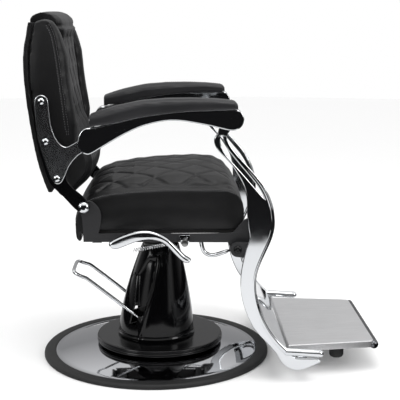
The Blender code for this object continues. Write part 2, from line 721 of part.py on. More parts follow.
def build_bolster(side_name, side):
    """Model a side bolster of the back."""
    back_line = smoothed([(x + BACK_PANEL_THICKNESS + 2 * GAP, z) for x, z in back_rear_line()[:-1]],
                         steps=2, closed=False)[:-1]
    front = smoothed([(-0.303, 0.962), (-0.280, 0.970), (-0.256, 0.963), (-0.240, 0.930),
                      (-0.229, 0.870), (-0.221, 0.800), (-0.213, 0.730), (-0.207, 0.675),
                      (-0.210, 0.645), (-0.228, 0.631), (-0.262, 0.628)], steps=2, closed=False)
    inner = BACK_CENTRE_HALF_WIDTH + 0.001
    edge = 0.006
    sections = []
    for y, pull in ((inner, edge), (inner + 0.012, 0.0), (BACK_HALF_WIDTH - 0.008, 0.0),
                    (BACK_HALF_WIDTH, edge)):
        rolled = [(x - pull * (x > -0.262), y * side, z + pull * (0.5 - (z > 0.8))) for x, z in front]
        sections.append([*rolled, *((x, y * side, z) for x, z in reversed(back_line))])
    return loft("back_bolster_" + side_name, sections, LEATHER)


def build_hinge(side_name, side):
    """Model the steel hinge plate that carries the back on its pivot."""
    x, z = BACK_PIVOT
    outline = smoothed([(-0.296, 0.655), (-0.272, 0.668), (-0.248, 0.650), (-0.236, 0.600),
                        (-0.222, 0.548), (x - 0.002, z + 0.030), (x + 0.016, z + 0.004),
                        (x + 0.004, z - 0.017), (x - 0.018, z - 0.008), (-0.240, 0.516),
                        (-0.270, 0.548), (-0.288, 0.600)], steps=3)
    holes = [circle(BACK_PIVOT, PIVOT_SHANK_RADIUS + RUNNING_GAP)]
    holes.extend(circle(place, 0.004 + GAP, steps=12) for place in BRACKET_BOLTS[1:])
    return plate("back_hinge_" + side_name, outline, PLATE_THICKNESS, HINGE_Y * side, FRAME_PAINT, holes)


def build_bracket(side_name, side):
    """Model the chromed bracket that joins the back to the armrest."""
    ax, az = ARM_REAR_PIVOT
    outline = smoothed([(-0.303, 0.768), (-0.287, 0.779), (-0.271, 0.768), (-0.267, 0.730),
                        (-0.262, 0.694), (-0.248, 0.660), (-0.228, 0.645), (-0.204, 0.655),
                        (ax, az + 0.016), (ax + 0.015, az), (ax + 0.004, az - 0.018),
                        (-0.196, 0.622), (-0.218, 0.596), (-0.232, 0.566), (-0.242, 0.550),
                        (-0.254, 0.548), (-0.266, 0.560), (-0.280, 0.600), (-0.294, 0.645),
                        (-0.301, 0.690), (-0.304, 0.730)], steps=3)
    holes = [circle(ARM_REAR_PIVOT, PIVOT_SHANK_RADIUS + RUNNING_GAP, steps=16)]
    holes.extend(circle(place, 0.004 + GAP, steps=12) for place in BRACKET_BOLTS)
    return plate("back_bracket_" + side_name, outline, PLATE_THICKNESS, BRACKET_Y * side, CHROME, holes)


# ---------------------------------------------------------------- arms
def arm_inner():
    """Return the distance from the middle of the chair to an armrest's inner face."""
    return BRACKET_Y + PLATE_THICKNESS / 2 + 0.0015


def build_arm(side_name, side):
    """Model one armrest: casting, pad, and the pins at its two pivots."""
    outer = ARM_Y + ARM_WIDTH / 2
    inner = arm_inner()
    top = [(-0.154, 0.699), (-0.096, 0.711), (-0.033, 0.726), (0.030, 0.736), (0.093, 0.741),
           (0.156, 0.743), (0.208, 0.743)]
    nose = [(0.224, 0.738), (0.232, 0.722), (0.226, 0.701), (0.207, 0.690)]
    below = [(0.182, 0.693), (0.150, 0.701), (0.093, 0.712), (0.055, 0.716), (0.017, 0.713),
             (-0.033, 0.700), (-0.084, 0.676), (-0.135, 0.646)]
    rear = [(-0.165, 0.630), (-0.184, 0.638), (-0.193, 0.660), (-0.187, 0.684), (-0.173, 0.697)]
    outline = smoothed([*top, *nose, *below, *rear], steps=2)
    arm = plate("arm_casting_" + side_name, outline, outer - inner, (outer + inner) / 2 * side, CHROME)
    slot_half = TONGUE_WIDTH / 2 + 0.0015
    slot_mid = LEG_Y + (ARM_Y - LEG_Y) * 0.5
    x, z = ARM_FRONT_PIVOT
    slot = box("arm_slot_" + side_name, (x - TONGUE_RADIUS - 0.010, slot_mid - slot_half, z - 0.040),
               (x + TONGUE_RADIUS + 0.006, slot_mid + slot_half, z + TONGUE_RADIUS + 0.004), CHROME)
    slot.location.y *= side
    cut(arm, slot)
    pieces = [arm, build_pad(side_name, side, top)]
    pin_inner = slot_mid - slot_half - 0.003
    pin_outer = slot_mid + slot_half + 0.003
    hole = cylinder("arm_pin_hole_" + side_name, 0.005 + GAP, (x, (pin_inner - GAP) * side, z),
                    (x, (pin_outer + GAP) * side, z), CHROME, segments=16)
    cut(arm, hole)
    pieces.append(cylinder("arm_front_pin_" + side_name, 0.005, (x, pin_inner * side, z),
                           (x, pin_outer * side, z), STEEL, segments=16))
    rx, rz = ARM_REAR_PIVOT
    socket_end = inner + 0.016
    socket = cylinder("arm_socket_" + side_name, PIVOT_SHANK_RADIUS + GAP, (rx, (inner - 0.004) * side, rz),
                      (rx, socket_end * side, rz), CHROME, segments=16)
    cut(arm, socket)
    pin_start = BRACKET_Y - PLATE_THICKNESS / 2 - GAP
    profile = [(0.0, socket_end - GAP - pin_start), (PIVOT_SHANK_RADIUS, socket_end - GAP - pin_start),
               (PIVOT_SHANK_RADIUS, 0.0), (0.011, 0.0), (0.011, -0.004), (0.0, -0.004)]
    pin = turned("arm_rear_pin_" + side_name, profile, STEEL, segments=16)
    pieces.append(across(pin, rx, rz, pin_start, side))
    return pieces


def build_pad(side_name, side, top):
    """Model the padded top of an armrest, which follows the casting's upper line."""
    line = [(-0.162, 0.700), *top[1:], (0.216, 0.741)]
    sections = []
    half = PAD_WIDTH / 2
    for index, (x, z) in enumerate(line):
        height = PAD_HEIGHTS[index]
        width = half * (0.86 if index in (0, len(line) - 1) else 1.0)
        base = z + 0.0012
        profile = [(-1.0, 0.10), (-1.0, 0.62), (-0.86, 0.90), (-0.45, 1.0), (0.45, 1.0),
                   (0.86, 0.90), (1.0, 0.62), (1.0, 0.10), (0.9, 0.0), (-0.9, 0.0)]
        sections.append([(x, (ARM_Y + across_share * width) * side, base + up * height)
                         for across_share, up in profile])
    return loft("arm_pad_" + side_name, sections, PAD_LEATHER)


# ---------------------------------------------------------------- legs and footrest
def build_footrest():
    """Model what swings with the footrest: legs, shaft, panel, bar, plate and bumpers."""
    pieces = [build_leg(side_name, side) for side_name, side in SIDES]
    pieces.append(build_foot_shaft())
    inside = LEG_Y - LEG_WIDTH / 2 - GAP
    pieces.append(build_kick_panel(inside))
    under = FOOTPLATE_TOP_Z - FOOTPLATE_THICKNESS - GAP
    bar = box("foot_crossbar", (0.386, -inside, under - 0.022), (0.412, inside, under), CHROME)
    pieces.append(bar)
    pieces.append(build_footplate())
    for side_name, side in SIDES:
        y = 0.180 * side
        bumper = turned("foot_bumper_" + side_name, [(0.0, 0.0), (0.020, 0.0), (0.020, -0.018),
                                                      (0.014, -0.029), (0.0, -0.032)], RUBBER, segments=18)
        bumper.location = (0.507, y, under)
        pieces.append(bumper)
    for side_name, side in SIDES:
        x, z = FOOT_PIVOT
        head_y = LEG_Y - LEG_WIDTH / 2 + 0.012 + GAP
        pieces.append(bolt("foot_pivot_bolt_" + side_name, x, z, head_y - 0.010, head_y, side,
                           0.011, 0.0035, 0.006, CHROME))
    return pieces


def build_leg(side_name, side):
    """Model a leg: an S-shaped arm that runs on down to the footrest."""
    cx, cz = ARM_FRONT_PIVOT
    front = [(0.187, 0.680), (0.190, 0.667), (0.196, 0.652), (0.206, 0.637), (0.219, 0.621),
             (0.249, 0.589), (0.277, 0.556), (0.292, 0.534), (0.303, 0.511), (0.311, 0.487),
             (0.315, 0.461), (0.316, 0.435), (0.310, 0.405), (0.297, 0.372),
             (0.282, 0.337), (0.271, 0.302), (0.269, 0.264), (0.276, 0.222), (0.290, 0.182),
             (0.312, 0.142), (0.340, 0.108), (0.362, 0.088), (0.380, 0.070), (0.430, 0.068),
             (0.446, 0.062)]
    toe = [(0.441, 0.056), (0.413, 0.044), (0.386, 0.036), (0.361, 0.042), (0.340, 0.060)]
    rear = [(0.326, 0.084), (0.302, 0.112), (0.284, 0.131), (0.264, 0.156), (0.247, 0.190),
            (0.235, 0.225),
            (0.228, 0.262), (0.228, 0.302), (0.233, 0.338), (0.242, 0.375), (0.250, 0.402),
            (0.247, 0.430), (0.244, 0.460), (0.243, 0.500), (0.239, 0.527), (0.231, 0.550),
            (0.218, 0.573), (0.202, 0.597), (0.184, 0.617), (0.167, 0.635), (0.158, 0.652),
            (0.157, 0.667), (0.164, 0.678), (0.176, 0.682)]
    outline = smoothed([*front, *toe, *rear], steps=2)
    window = smoothed([(0.180, 0.673), (0.183, 0.657), (0.189, 0.643), (0.200, 0.627),
                       (0.232, 0.588), (0.269, 0.543), (0.288, 0.509), (0.269, 0.530),
                       (0.232, 0.573), (0.200, 0.609), (0.187, 0.625), (0.178, 0.641),
                       (0.173, 0.657), (0.173, 0.673)], steps=2)
    leg = plate("leg_" + side_name, outline, LEG_WIDTH, LEG_Y * side, CHROME, [window])
    tongue_y = LEG_Y + (ARM_Y - LEG_Y) * 0.5
    head = circle((cx, cz), TONGUE_RADIUS, steps=16, start=radians(-62), end=radians(205))
    tongue = plate("tongue_" + side_name, [*head, (cx - 0.023, cz - 0.030), (cx - 0.022, cz - 0.037),
                                           (cx - 0.017, cz - 0.031), (cx - 0.009, cz - 0.031),
                                           (cx - 0.001, cz - 0.034)],
                   TONGUE_WIDTH, tongue_y * side, CHROME,
                   [circle(ARM_FRONT_PIVOT, 0.005 + LINK_CLEARANCE)])
    fx, fz = FOOT_PIVOT
    lug_y = LEG_Y - LEG_WIDTH / 2 + 0.006
    lug = plate("leg_lug_" + side_name, [*circle(FOOT_PIVOT, 0.020, steps=12, start=radians(90),
                                                 end=radians(270)), (0.250, fz - 0.024), (0.256, fz + 0.018)],
                0.012, lug_y * side, CHROME)
    bore = cylinder("leg_bore_" + side_name, 0.0075 + GAP, (fx, (lug_y - 0.012) * side, fz),
                    (fx, (lug_y + 0.012) * side, fz), CHROME, segments=16)
    join(leg, tongue, lug)
    return cut(leg, bore)


def build_foot_shaft():
    """Model the shaft that ties the legs together, with its crank for the lock."""
    x, z = FOOT_PIVOT
    end = LEG_Y - LEG_WIDTH / 2 + 0.012 - GAP
    shaft = cylinder("foot_shaft", 0.0075, (x, -end, z), (x, end, z), STEEL, segments=16)
    top = crank_end()
    ax, az = top[0] - x, top[1] - z
    length = sqrt(ax * ax + az * az)
    nx, nz = -az / length, ax / length
    half = 0.009
    outline = [(x + nx * half, z + nz * half), (top[0] + nx * half, top[1] + nz * half),
               (top[0] - nx * half, top[1] - nz * half), (x - nx * half, z - nz * half)]
    cheek_y = LOCK_Y - 0.004 - 0.001 - 0.0025
    crank = plate("crank", outline, 0.005, cheek_y, STEEL)
    pin = cylinder("crank_pin", 0.0040, (top[0], cheek_y, top[1]), (top[0], LOCK_Y + 0.006, top[1]),
                   STEEL, segments=16)
    join(shaft, crank, pin)
    for side_name, side in SIDES:
        hole = cylinder("shaft_end_hole_" + side_name, 0.0035 + GAP, (x, (end - 0.012) * side, z),
                        (x, (end + 0.004) * side, z), STEEL, segments=12)
        cut(shaft, hole)
    return shaft


def build_kick_panel(inside):
    """Model the sloping panel between the legs, behind the footplate."""
    line = smoothed([(0.297, 0.168), (0.312, 0.143), (0.331, 0.118), (0.354, 0.096)],
                    steps=2, closed=False)
    shifted = [(x - KICK_THICKNESS, z - KICK_THICKNESS * 0.6) for x, z in line]
    return plate("kick_panel", [*line, *reversed(shifted)], 2 * inside, 0.0, CHROME)


def build_footplate():
    """Model the footplate: a flat top whose edges roll down."""
    high = FOOTPLATE_TOP_Z
    low = high - FOOTPLATE_THICKNESS
    outline = [(FOOTPLATE_BACK_X, low), (FOOTPLATE_BACK_X, high - 0.004), (FOOTPLATE_BACK_X + 0.006, high),
               (FOOTPLATE_FRONT_X - 0.030, high), (FOOTPLATE_FRONT_X - 0.010, high - 0.005),
               (FOOTPLATE_FRONT_X, high - 0.018), (FOOTPLATE_FRONT_X - 0.002, high - 0.032),
               (FOOTPLATE_FRONT_X - 0.012, high - 0.032), (FOOTPLATE_FRONT_X - 0.016, low)]
    length = FOOTPLATE_FRONT_X - FOOTPLATE_BACK_X
    sections = []
    for share, drop in ((-1.0, 0.010), (-0.985, 0.004), (-0.95, 0.0), (0.95, 0.0), (0.985, 0.004),
                        (1.0, 0.010)):
        loop = []
        for x, z in outline:
            along = (x - FOOTPLATE_BACK_X) / length
            half = FOOTPLATE_BACK_HALF_WIDTH + (FOOTPLATE_FRONT_HALF_WIDTH - FOOTPLATE_BACK_HALF_WIDTH) * along
            loop.append((x, half * share, z - (drop if z > low else 0.0)))
        sections.append(loop)
    return loft("footplate", sections, BRUSHED)


# ---------------------------------------------------------------- recline lever
def build_lever():
    """Model the arched recline lever and its pin."""
    x, z = LEVER_PIVOT
    upper = [(-0.118, 0.396), (-0.100, 0.408), (-0.074, 0.419), (-0.045, 0.427), (-0.014, 0.428),
             (0.015, 0.419), (0.040, 0.403), (0.064, 0.378), (0.080, 0.361), (0.096, 0.350)]
    lower = [(0.088, 0.341), (0.074, 0.345), (0.054, 0.364), (0.028, 0.392), (0.002, 0.402),
             (-0.020, 0.404), (-0.050, 0.398), (-0.076, 0.388), (-0.100, 0.380), (-0.114, 0.384)]
    outline = smoothed([*upper, *lower], steps=2)
    handle = plate("recline_lever", outline, 0.022, LEVER_Y, CHROME)
    lug_y = LEVER_Y + 0.011 + 0.003
    lug = plate("lever_lug", [*circle(LEVER_PIVOT, 0.012, steps=8, start=0.0, end=pi),
                              (x - 0.014, 0.366), (x + 0.010, 0.352)], 0.008, lug_y - 0.001, CHROME)
    hole = cylinder("lever_hole", 0.004 + RUNNING_GAP, (x, lug_y - 0.02, z), (x, lug_y + 0.02, z),
                    CHROME, segments=16)
    join(handle, lug)
    cut(handle, hole)
    bracket_inner = FRAME_Y + PLATE_THICKNESS / 2 + 0.0005
    pin_end = -(lug_y - 0.005) + GAP
    profile = [(0.0, pin_end - bracket_inner + 0.005), (0.009, pin_end - bracket_inner + 0.004),
               (0.009, pin_end - bracket_inner), (0.004, pin_end - bracket_inner), (0.004, 0.0), (0.0, 0.0)]
    pin = across(turned("lever_pin", profile, STEEL, segments=16), x, z, bracket_inner, -1.0)
    return [handle, pin]


def build_spring():
    """Model the envelope of the lever's return spring."""
    start = (SPRING_ANCHOR[0], SPRING_Y, SPRING_ANCHOR[1])
    end = (SPRING_END[0], SPRING_Y, SPRING_END[1])
    return [cylinder("lever_spring", SPRING_RADIUS, start, end, STEEL, segments=16)]


# ---------------------------------------------------------------- assembly
def hang(pieces, name, place, parent=None):
    """Hang pieces from a new empty that stands on a joint's axis, and return it."""
    pivot = bpy.data.objects.new(name, None)
    pivot.empty_display_size = 0.05
    PARTS.objects.link(pivot)
    pivot.location = place
    if parent is not None:
        pivot.parent = parent
        pivot.matrix_parent_inverse = Matrix.Translation(-Vector(parent["place"]))
    pivot["place"] = place
    for piece in pieces:
        piece.parent = pivot
        piece.matrix_parent_inverse = Matrix.Translation(-Vector(place))
    return pivot


def main():
    """Build the whole chair and hang each moving group on its axis."""
    hang(build_base(), "base", (0.0, 0.0, 0.0))
    hang(build_pedal(), "pedal_axis", (PEDAL_AXIS[0], 0.0, PEDAL_AXIS[1]))
    lift = hang(build_lift(), "lift_axis", (0.0, 0.0, COVER_TOP))
    swivel = hang(build_seat(), "swivel_axis", (0.0, 0.0, FRAME_BOTTOM_Z), lift)
    back = hang(build_back(), "recline_axis", (BACK_PIVOT[0], 0.0, BACK_PIVOT[1]), swivel)
    for side_name, side in SIDES:
        hang(build_arm(side_name, side), f"arm_{side_name}_axis",
             (ARM_REAR_PIVOT[0], ARM_Y * side, ARM_REAR_PIVOT[1]), back)
    hang(build_footrest(), "footrest_axis", (FOOT_PIVOT[0], 0.0, FOOT_PIVOT[1]), swivel)
    hang([build_lock_rod()], "lock_axis", (0.110, LOCK_Y, lock_height()), swivel)
    hang(build_lever(), "lever_axis", (LEVER_PIVOT[0], LEVER_Y, LEVER_PIVOT[1]), swivel)
    hang(build_spring(), "spring_axis", (SPRING_ANCHOR[0], SPRING_Y, SPRING_ANCHOR[1]), swivel)


main()
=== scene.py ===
"""Looks of a hydraulic barber chair, built round its fixed frame. Metres, +X to the front, +Z up."""

import json
import logging
from collections.abc import Callable, Iterable, Sequence
from dataclasses import dataclass, field
from enum import Enum
from math import cos, pi, radians, sin, tau

import bmesh
import bpy
import numpy as np
from mathutils import Matrix, Vector
from mathutils.bvhtree import BVHTree


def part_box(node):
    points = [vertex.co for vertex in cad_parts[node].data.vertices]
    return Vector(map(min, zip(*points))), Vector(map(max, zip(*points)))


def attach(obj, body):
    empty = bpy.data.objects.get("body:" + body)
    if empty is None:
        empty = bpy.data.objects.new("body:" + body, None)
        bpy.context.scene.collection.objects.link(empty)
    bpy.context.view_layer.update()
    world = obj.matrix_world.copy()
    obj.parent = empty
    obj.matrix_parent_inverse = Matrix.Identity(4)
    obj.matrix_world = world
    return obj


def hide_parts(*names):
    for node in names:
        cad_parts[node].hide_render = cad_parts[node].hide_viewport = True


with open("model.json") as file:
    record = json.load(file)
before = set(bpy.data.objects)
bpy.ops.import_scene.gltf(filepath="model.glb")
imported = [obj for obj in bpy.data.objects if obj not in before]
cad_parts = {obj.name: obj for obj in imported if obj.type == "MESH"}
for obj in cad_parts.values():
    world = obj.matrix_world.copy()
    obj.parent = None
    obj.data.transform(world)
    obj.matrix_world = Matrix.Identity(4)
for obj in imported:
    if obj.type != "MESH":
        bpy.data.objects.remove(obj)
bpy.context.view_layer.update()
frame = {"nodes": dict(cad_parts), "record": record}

Point2 = tuple[float, float]
Point3 = tuple[float, float, float]

LOG = logging.getLogger("barber_chair")
SIDES = (("left", 1.0), ("right", -1.0))
SMOOTH_ANGLE = radians(32)
MERGE = 1e-5
SEWN_WIDTH = 0.0045     # half width of the channel that a line of stitches pulls down
THREAD_STEP = 0.004     # spacing of the points that a row of stitches follows
MIRROR = Matrix.Diagonal((1.0, -1.0, 1.0, 1.0))


class Axis(Enum):
    """The world's axes, as columns of a coordinate array."""

    X = 0
    Y = 1
    Z = 2


# ---------------------------------------------------------------- node helpers
def linear(code: str) -> tuple[float, float, float, float]:
    """Turn an sRGB hex colour into linear RGBA.

    Args:
        code: Six hex digits after a hash.

    Returns:
        The linear colour with full alpha.
    """
    parts = [int(code[i:i + 2], 16) / 255 for i in (1, 3, 5)]
    red, green, blue = (c / 12.92 if c <= 0.04045 else ((c + 0.055) / 1.055) ** 2.4 for c in parts)
    return (red, green, blue, 1.0)


def add_node(tree: bpy.types.NodeTree, kind: str, inputs: dict | None = None,
             **settings: object) -> bpy.types.Node:
    """Add a node, set its properties, and fill or link its inputs.

    Args:
        tree: The tree that gets the node.
        kind: The node's type name.
        inputs: Input names or indices, with a number, a colour or a socket to link.
        **settings: Properties of the node itself.

    Returns:
        The new node.
    """
    made = tree.nodes.new(kind)
    for name, value in settings.items():
        setattr(made, name, value)
    for name, value in (inputs or {}).items():
        if isinstance(value, bpy.types.NodeSocket):
            tree.links.new(value, made.inputs[name])
        else:
            made.inputs[name].default_value = value
    return made


def ramp(tree: bpy.types.NodeTree, factor: bpy.types.NodeSocket,
         stops: Sequence[tuple[float, str]]) -> bpy.types.NodeSocket:
    """Map a factor to colours.

    Args:
        tree: The tree that gets the ramp.
        factor: The socket that drives it.
        stops: Positions from 0 to 1, each with an sRGB hex colour.

    Returns:
        The ramp's colour socket.
    """
    made = add_node(tree, "ShaderNodeValToRGB", {0: factor})
    elements = made.color_ramp.elements
    while len(elements) < len(stops):
        elements.new(0.5)
    for element, (position, code) in zip(elements, stops):
        element.position = position
        element.color = linear(code)
    return made.outputs[0]


def spread(tree: bpy.types.NodeTree, factor: bpy.types.NodeSocket, low: float,
           high: float) -> bpy.types.NodeSocket:
    """Return a socket that turns a factor from 0 to 1 into a number from low to high."""
    return add_node(tree, "ShaderNodeMapRange", {0: factor, 3: low, 4: high}).outputs[0]


def share(tree: bpy.types.NodeTree, value: bpy.types.NodeSocket, low: float,
          high: float) -> bpy.types.NodeSocket:
    """Return a socket that turns a number from low to high into a factor from 0 to 1."""
    return add_node(tree, "ShaderNodeMapRange", {0: value, 1: low, 2: high}).outputs[0]


# ---------------------------------------------------------------- finishes
@dataclass(frozen=True)
class Finish:
    """A finish: its material is made once and shared by every piece that wears it."""

    name: str
    colour: str
    roughness: float

    def material(self) -> bpy.types.Material:
        """Return the finish's material, making it the first time."""
        if self.name in bpy.data.materials:
            return bpy.data.materials[self.name]
        made = bpy.data.materials.new(self.name)
        made.use_nodes = True
        made.diffuse_color = linear(self.colour)
        tree = made.node_tree
        shader = tree.nodes["Principled BSDF"]
        shader.inputs["Base Color"].default_value = linear(self.colour)
        shader.inputs["Roughness"].default_value = self.roughness
        self.draw(tree, shader)
        return made

    def draw(self, tree: bpy.types.NodeTree, shader: bpy.types.Node) -> None:
        """Add the finish's own detail to its shader."""
        raise NotImplementedError

    def place(self, tree: bpy.types.NodeTree, scale: Point3 = (1.0, 1.0, 1.0)) -> bpy.types.NodeSocket:
        """Return the surface's own place in metres, stretched by a scale."""
        own = add_node(tree, "ShaderNodeTexCoord").outputs["Object"]
        return add_node(tree, "ShaderNodeMapping", {"Vector": own, "Scale": scale}).outputs[0]

    def noise(self, tree: bpy.types.NodeTree, at: bpy.types.NodeSocket, size: float, detail: float = 3.0,
              distortion: float = 0.0) -> bpy.types.NodeSocket:
        """Return smooth noise whose blotches are about a given size in metres."""
        return add_node(tree, "ShaderNodeTexNoise", {"Vector": at, "Scale": 1.0 / size, "Detail": detail,
                                                     "Distortion": distortion}).outputs[0]

    def bump(self, tree: bpy.types.NodeTree, shader: bpy.types.Node,
             layers: Sequence[tuple[bpy.types.NodeSocket, float, float]]) -> None:
        """Lay heights over each other; each layer is a socket, a strength and a depth in metres."""
        normal = None
        for height, strength, depth in layers:
            inputs = {"Height": height, "Strength": strength, "Distance": depth}
            if normal is not None:
                inputs["Normal"] = normal
            normal = add_node(tree, "ShaderNodeBump", inputs).outputs[0]
        tree.links.new(normal, shader.inputs["Normal"])


@dataclass(frozen=True)
class Leather(Finish):
    """Pigmented upholstery leather: a pebbled grain under a satin topcoat, a little worn on the crests."""

    worn: str = "#2c2c2e"
    grain: float = 0.0021       # pebbles of about 1 mm are drawn twice as large, or they would vanish
    crease: float = 0.030       # soft puckers where the hide is pulled over foam

    def draw(self, tree: bpy.types.NodeTree, shader: bpy.types.Node) -> None:
        """Add pebbles, puckers and a colour that lightens where the hide is handled."""
        at = self.place(tree)
        pebble = add_node(tree, "ShaderNodeTexVoronoi", {"Vector": at, "Scale": 1.0 / self.grain},
                          feature="SMOOTH_F1").outputs["Distance"]
        pucker = self.noise(tree, at, self.crease, detail=5.0, distortion=0.8)
        patch = self.noise(tree, at, 0.16, detail=2.0)
        colour = ramp(tree, patch, ((0.30, self.colour), (0.78, self.worn)))
        tree.links.new(colour, shader.inputs["Base Color"])
        tree.links.new(spread(tree, patch, self.roughness - 0.06, self.roughness + 0.08),
                       shader.inputs["Roughness"])
        shader.inputs["Specular IOR Level"].default_value = 0.30
        shader.inputs["Sheen Weight"].default_value = 0.03
        shader.inputs["Sheen Roughness"].default_value = 0.4
        self.bump(tree, shader, ((pebble, 0.22, 0.0005), (pucker, 0.30, 0.0022)))


@dataclass(frozen=True)
class Chrome(Finish):
    """Nickel and chromium plate on polished castings: mirror bright, with the slow waves of hand buffing."""

    wave: float = 0.055
    wave_depth: float = 0.0009

    def draw(self, tree: bpy.types.NodeTree, shader: bpy.types.Node) -> None:
        """Add buffing waves and faint wipe marks."""
        at = self.place(tree)
        wave = self.noise(tree, at, self.wave, detail=1.0)
        wipe = self.noise(tree, self.place(tree, (1.0, 0.3, 1.0)), 0.012, detail=4.0)
        tree.links.new(spread(tree, wipe, self.roughness * 0.6, self.roughness * 1.6), shader.inputs["Roughness"])
        shader.inputs["Metallic"].default_value = 1.0
        self.bump(tree, shader, ((wave, 0.16, self.wave_depth),))


@dataclass(frozen=True)
class Enamel(Finish):
    """Stoved black gloss enamel: almost no colour of its own, sharp reflections, slight orange peel."""

    def draw(self, tree: bpy.types.NodeTree, shader: bpy.types.Node) -> None:
        """Add orange peel and a film of dust in the gloss."""
        at = self.place(tree)
        peel = self.noise(tree, at, 0.004, detail=2.0)
        dust = self.noise(tree, at, 0.05, detail=6.0)
        tree.links.new(spread(tree, dust, self.roughness * 0.7, self.roughness * 1.9), shader.inputs["Roughness"])
        shader.inputs["Specular IOR Level"].default_value = 0.32
        self.bump(tree, shader, ((peel, 0.03, 0.0003),))


@dataclass(frozen=True)
class PowderCoat(Finish):
    """Polyester powder coat on steel plate: an even satin skin with a fine pebbled flow."""

    def draw(self, tree: bpy.types.NodeTree, shader: bpy.types.Node) -> None:
        """Add the flow texture and slight cloudiness."""
        at = self.place(tree)
        flow = self.noise(tree, at, 0.0022, detail=2.0)
        cloud = self.noise(tree, at, 0.08)
        tree.links.new(spread(tree, cloud, self.roughness - 0.05, self.roughness + 0.08),
                       shader.inputs["Roughness"])
        self.bump(tree, shader, ((flow, 0.18, 0.0002),))


@dataclass(frozen=True)
class BrushedSteel(Finish):
    """Stainless sheet brushed lengthwise: fine parallel lines that soften every reflection."""

    along: Axis = Axis.X
    line: float = 0.0006        # brush lines of 0.1 mm are drawn coarser so that they show

    def draw(self, tree: bpy.types.NodeTree, shader: bpy.types.Node) -> None:
        """Stretch noise along the brushing direction for roughness, tone and height."""
        scale = [1.0, 1.0, 1.0]
        scale[self.along.value] = 0.012
        lines = self.noise(tree, self.place(tree, tuple(scale)), self.line, detail=4.0)
        smudge = self.noise(tree, self.place(tree), 0.09, detail=3.0)
        colour = ramp(tree, lines, ((0.30, "#c2c2c3"), (0.70, self.colour)))
        tree.links.new(colour, shader.inputs["Base Color"])
        tree.links.new(spread(tree, smudge, self.roughness - 0.06, self.roughness + 0.07),
                       shader.inputs["Roughness"])
        shader.inputs["Metallic"].default_value = 1.0
        self.bump(tree, shader, ((lines, 0.20, 0.0001),))


@dataclass(frozen=True)
class Rubber(Finish):
    """Moulded black rubber: dull, slightly bloomed, with a leathery mould texture."""

    def draw(self, tree: bpy.types.NodeTree, shader: bpy.types.Node) -> None:
        """Add bloom and mould texture."""
        at = self.place(tree)
        bloom = self.noise(tree, at, 0.06, detail=4.0)
        pore = self.noise(tree, at, 0.0016, detail=2.0)
        tree.links.new(ramp(tree, bloom, ((0.35, self.colour), (0.80, "#151516"))), shader.inputs["Base Color"])
        tree.links.new(spread(tree, bloom, self.roughness - 0.08, self.roughness + 0.08),
                       shader.inputs["Roughness"])
        self.bump(tree, shader, ((pore, 0.25, 0.0002),))


@dataclass(frozen=True)
class TurnedSteel(Finish):
    """Machined steel: grey, with the fine rings that turning leaves and a trace of oil."""

    def draw(self, tree: bpy.types.NodeTree, shader: bpy.types.Node) -> None:
        """Add turning marks and oil stains."""
        at = self.place(tree)
        marks = self.noise(tree, self.place(tree, (0.1, 0.1, 1.0)), 0.0008, detail=3.0)
        oil = self.noise(tree, at, 0.04, detail=4.0)
        tree.links.new(ramp(tree, oil, ((0.35, "#6d6d6c"), (0.75, self.colour))), shader.inputs["Base Color"])
        shader.inputs["Metallic"].default_value = 1.0
        self.bump(tree, shader, ((marks, 0.15, 0.0001),))


@dataclass(frozen=True)
class PaintedCasting(Finish):
    """Sand-cast iron under one coat of paint: the sand's grain still shows."""

    def draw(self, tree: bpy.types.NodeTree, shader: bpy.types.Node) -> None:
        """Add the grain of the sand mould."""
        at = self.place(tree)
        sand = self.noise(tree, at, 0.003, detail=6.0)
        tree.links.new(spread(tree, sand, self.roughness - 0.1, self.roughness + 0.1), shader.inputs["Roughness"])
        self.bump(tree, shader, ((sand, 0.5, 0.0005),))


@dataclass(frozen=True)
class Plywood(Finish):
    """Plywood stained black under its dust cover: long grain, with its plies as bands through the edge."""

    def draw(self, tree: bpy.types.NodeTree, shader: bpy.types.Node) -> None:
        """Add long grain on the faces and 1.5 mm plies through the thickness."""
        grain = self.noise(tree, self.place(tree, (0.08, 1.0, 1.0)), 0.006, detail=5.0, distortion=0.6)
        plies = add_node(tree, "ShaderNodeTexWave", {"Vector": self.place(tree), "Scale": 105.0},
                         bands_direction="Z").outputs["Color"]
        mixed = add_node(tree, "ShaderNodeMath", {0: grain, 1: plies}, operation="MULTIPLY").outputs[0]
        tree.links.new(ramp(tree, mixed, ((0.1, "#0a0908"), (0.6, self.colour))), shader.inputs["Base Color"])
        self.bump(tree, shader, ((grain, 0.2, 0.0003),))


@dataclass(frozen=True)
class Thread(Finish):
    """Bonded nylon thread: round, slightly lighter than the hide, with a soft twist."""

    def draw(self, tree: bpy.types.NodeTree, shader: bpy.types.Node) -> None:
        """Add the twist of the three strands."""
        twist = add_node(tree, "ShaderNodeTexWave", {"Vector": self.place(tree), "Scale": 900.0},
                         bands_direction="DIAGONAL").outputs["Color"]
        self.bump(tree, shader, ((twist, 0.3, 0.0002),))


